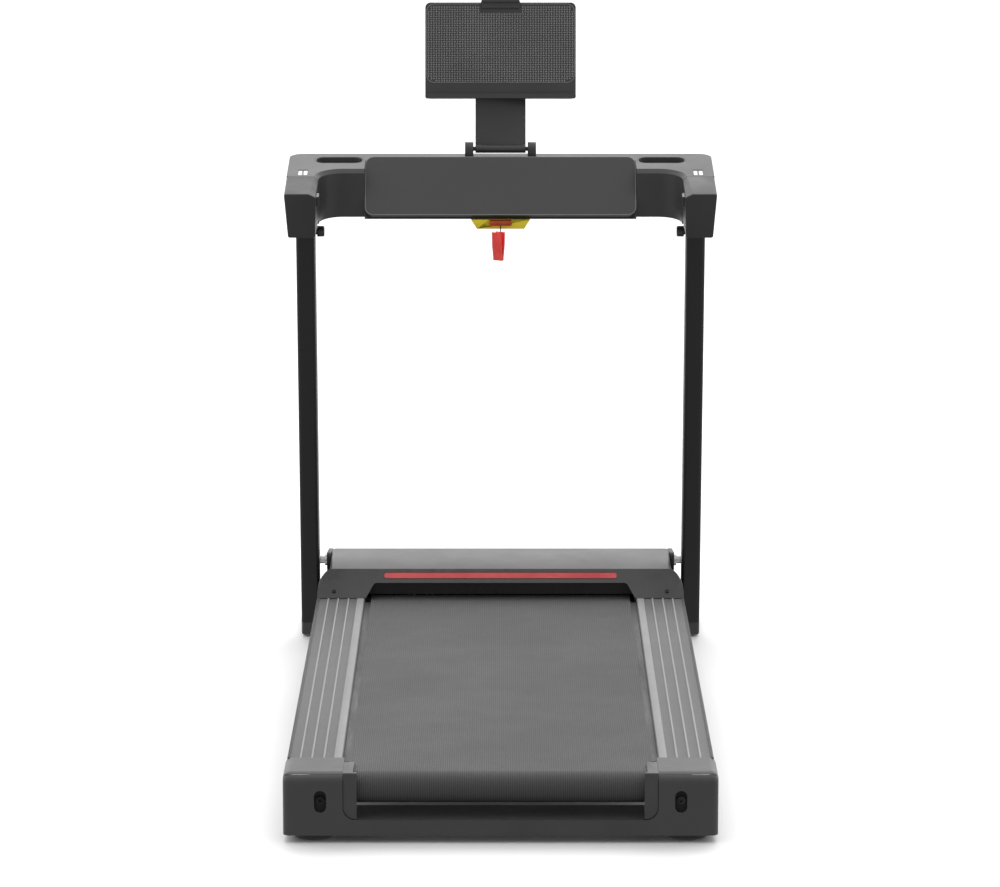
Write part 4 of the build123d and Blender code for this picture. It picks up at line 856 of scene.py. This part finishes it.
EDGE_GAP, MAT_BEAD, PANEL_HIGHLIGHT_BEAD = 3.0, 0.7 * MM, 0.9 * MM
mat_frame = rounded_frame(
    MAT_HALF + EDGE_GAP, MAT_LOW - EDGE_GAP, MAT_HIGH + EDGE_GAP, MAT_CORNER + 2.0, on_rest
)
bead("mat_edge", mat_frame, MAT_BEAD, "tablet_arm", "shell_gloss", look="rail_grey")
print("mat edge points:", len(mat_frame))


def face_outline(name, inset):
    """The corners of a solid's largest face towards the runner, each set back a little."""
    shape = bmesh.new()
    shape.from_mesh(nodes[name].data)
    bmesh.ops.remove_doubles(shape, verts=shape.verts, dist=1e-6)
    bmesh.ops.dissolve_limit(shape, angle_limit=MERGED_FLAT, verts=shape.verts, edges=shape.edges)
    towards = [face for face in shape.faces if face.normal.y < -0.2]
    face = max(towards, key=lambda candidate: candidate.calc_area())
    centre, normal = face.calc_center_bounds(), face.normal.copy()
    points = [corner.co + (centre - corner.co).normalized() * inset - normal * inset * 0.6
              for corner in face.verts]
    shape.free()
    return points


# The bead round the display panel is real rim geometry. It takes the rail grey, which is pale at
# this height, and that pale colour is a painted highlight for the light that the panel's rounded
# rim catches.
panel_highlight_edge = face_outline("display_panel", PANEL_HIGHLIGHT_BEAD)
bead("display_edge", panel_highlight_edge, PANEL_HIGHLIGHT_BEAD, "base", "shell_gloss", look="rail_grey")
print("display edge points:", len(panel_highlight_edge))

# %% [markdown]
# The console leans as well. Its own helper takes millimetres across, forward and up.
# The quick keys on the grips are plain pale bars under a dark line.

# %% Console places and quick keys
CONSOLE_Y, CONSOLE_Z, LEAN = 0.331477, 0.839951, math.radians(8.55)
console_forward = Vector((0.0, math.cos(LEAN), math.sin(LEAN)))
console_up = Vector((0.0, -math.sin(LEAN), math.cos(LEAN)))


def on_console(x, forward, up):
    """A place in the console's own directions, in millimetres."""
    start = Vector((x * MM, CONSOLE_Y, CONSOLE_Z))
    return start + console_forward * forward * MM + console_up * up * MM


def pad_template(name, half_width, half_length, rise, corner):
    """A thin pad with round corners, lying on the console's level."""
    shape = bmesh.new()
    ring = []
    for x, y, start in ((1, 1, 0), (-1, 1, 90), (-1, -1, 180), (1, -1, 270)):
        for step in range(5):
            turn = math.radians(start + 22.5 * step)
            ring.append(((half_width - corner) * x + corner * math.cos(turn),
                         (half_length - corner) * y + corner * math.sin(turn)))
    low = [shape.verts.new((x, y, -rise)) for x, y in ring]
    high = [shape.verts.new((x, y, rise * 0.6)) for x, y in ring]
    top = [shape.verts.new((x * 0.94, y * 0.97, rise)) for x, y in ring]
    for first, second in ((low, high), (high, top)):
        for i in range(len(ring)):
            j = (i + 1) % len(ring)
            shape.faces.new((first[i], first[j], second[j], second[i]))
    shape.faces.new(low)
    shape.faces.new(top)
    return template_from(name, shape)


KEY_X, KEY_TOP = 374.0, 85.0
bar = pad_template("bar", 3.4 * MM, 14.0 * MM, 0.3 * MM, 2.0 * MM)
bar_places = [
    on_console(side * KEY_X + x, 148.0, KEY_TOP) for side in (-1, 1) for x in (-5.0, 5.0)
]
flat_turn = (LEAN, 0.0, 0.0)
repeat(
    "quick_keys", bar_places, [flat_turn] * len(bar_places), bar, "base", "grip_black",
    look="print_white",
)
drop(bar)
dash = pad_template("dash", 10.0 * MM, 1.6 * MM, 0.25 * MM, 1.0 * MM)
dash_places = [on_console(side * KEY_X, 170.0, KEY_TOP) for side in (-1, 1)]
repeat("key_lines", dash_places, [flat_turn] * 2, dash, "base", "grip_black", look="foot_rubber")
drop(dash)

# %% [markdown]
# A dark web inside the rear cap closes the view through each adjuster slot, behind the
# bolt's head. The web is painted shade: a dark sheet put where the inside of the cap is only
# in shade.

# %% Slot webs of painted shade
bolt_low, bolt_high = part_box("adjuster_bolts")
SHADE_WEB_BEHIND, SHADE_WEB_THICK, SHADE_WEB_HALF = 7.0 * MM, 1.0 * MM, 12.0 * MM
SHADE_WEB_HEIGHT = 44.0 * MM
shade_web_mesh = bpy.data.meshes.new("slot_webs")
shade_web_shape = bmesh.new()
bolt_middle_z = (bolt_low.z + bolt_high.z) / 2
bolt_x = bolt_high.x - (bolt_high.z - bolt_low.z) / 2
for side in (-1, 1):
    place = Matrix.Translation((side * bolt_x, bolt_low.y + SHADE_WEB_BEHIND, bolt_middle_z))
    size = Matrix.Diagonal((2 * SHADE_WEB_HALF, SHADE_WEB_THICK, SHADE_WEB_HEIGHT, 1.0))
    bmesh.ops.create_cube(shade_web_shape, size=1.0, matrix=place @ size)
shade_web_shape.to_mesh(shade_web_mesh)
shade_web_shape.free()
slot_webs = bpy.data.objects.new("slot_webs", shade_web_mesh)
scene.collection.objects.link(slot_webs)
# The webs take the dark rubber finish as painted shade in each slot.
shade_web_mesh.materials.append(looks["foot_rubber"])
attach(slot_webs, "deck")
print("slot webs at", round(bolt_x, 4), round(bolt_low.y + SHADE_WEB_BEHIND, 4))

# %% [markdown]
# Screws hold the apron, the console's floor and the hood's nose. One cross-head screw is
# modelled once and stood on every place, turned to face out.

# %% Screws


def screw_template():
    """A low domed head with a cross cut into it, its axis along Z."""
    shape = bmesh.new()
    outer = [(math.cos(math.tau * i / 16), math.sin(math.tau * i / 16)) for i in range(16)]
    arm, reach = 0.14, 0.58
    cross = [
        (reach, -arm), (reach, arm), (arm, arm), (arm, reach), (-arm, reach), (-arm, arm),
        (-reach, arm), (-reach, -arm), (-arm, -arm), (-arm, -reach), (arm, -reach), (arm, -arm),
    ]
    foot = [shape.verts.new((x, y, -0.5)) for x, y in outer]
    side = [shape.verts.new((x, y, 0.18)) for x, y in outer]
    crown = [shape.verts.new((x * 0.82, y * 0.82, 0.42)) for x, y in outer]
    lip = [shape.verts.new((x, y, 0.42)) for x, y in cross]
    pit = [shape.verts.new((x * 0.8, y * 0.8, -0.15)) for x, y in cross]
    for low, high in ((foot, side), (side, crown), (lip, pit)):
        for i in range(len(low)):
            j = (i + 1) % len(low)
            shape.faces.new((low[i], low[j], high[j], high[i]))
    shape.faces.new(foot)
    shape.faces.new(pit)
    edges = [
        shape.edges.get((ring[i], ring[(i + 1) % len(ring)]))
        for ring in (crown, lip) for i in range(len(ring))
    ]
    bmesh.ops.triangle_fill(shape, use_beauty=True, edges=edges)
    return template_from("screw", shape)


screw = screw_template()
APRON_SLOPE = math.atan2(47.0, 50.0)
APRON_SCREW, UNDER_SCREW, NOSE_SCREW = 4.2 * MM, 3.6 * MM, 3.8 * MM
hood_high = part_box("motor_hood")[1]
apron_places = [(side * 0.3218, 0.5029, 0.1290) for side in (-1, 1)]
under_places = [
    on_console(x, y, -8.0)
    for x in (-330.0, -200.0, -90.0, 90.0, 200.0, 330.0) for y in (200.0, 262.0)
]
nose_places = [(x, hood_high.y - 0.0003, 0.122) for x in (-0.29, -0.05, 0.05, 0.29)]
screw_rows = [
    ("apron_screws", apron_places, (APRON_SLOPE, 0.0, 0.0), "deck", APRON_SCREW),
    ("console_screws", under_places, (math.pi + LEAN, 0.0, 0.0), "base", UNDER_SCREW),
    ("nose_screws", nose_places, (-math.pi / 2, 0.0, 0.0), "deck", NOSE_SCREW),
]
for name, places, turn, body, size in screw_rows:
    repeat(name, places, [turn] * len(places), screw, body, "black_steel", size)
drop(screw)
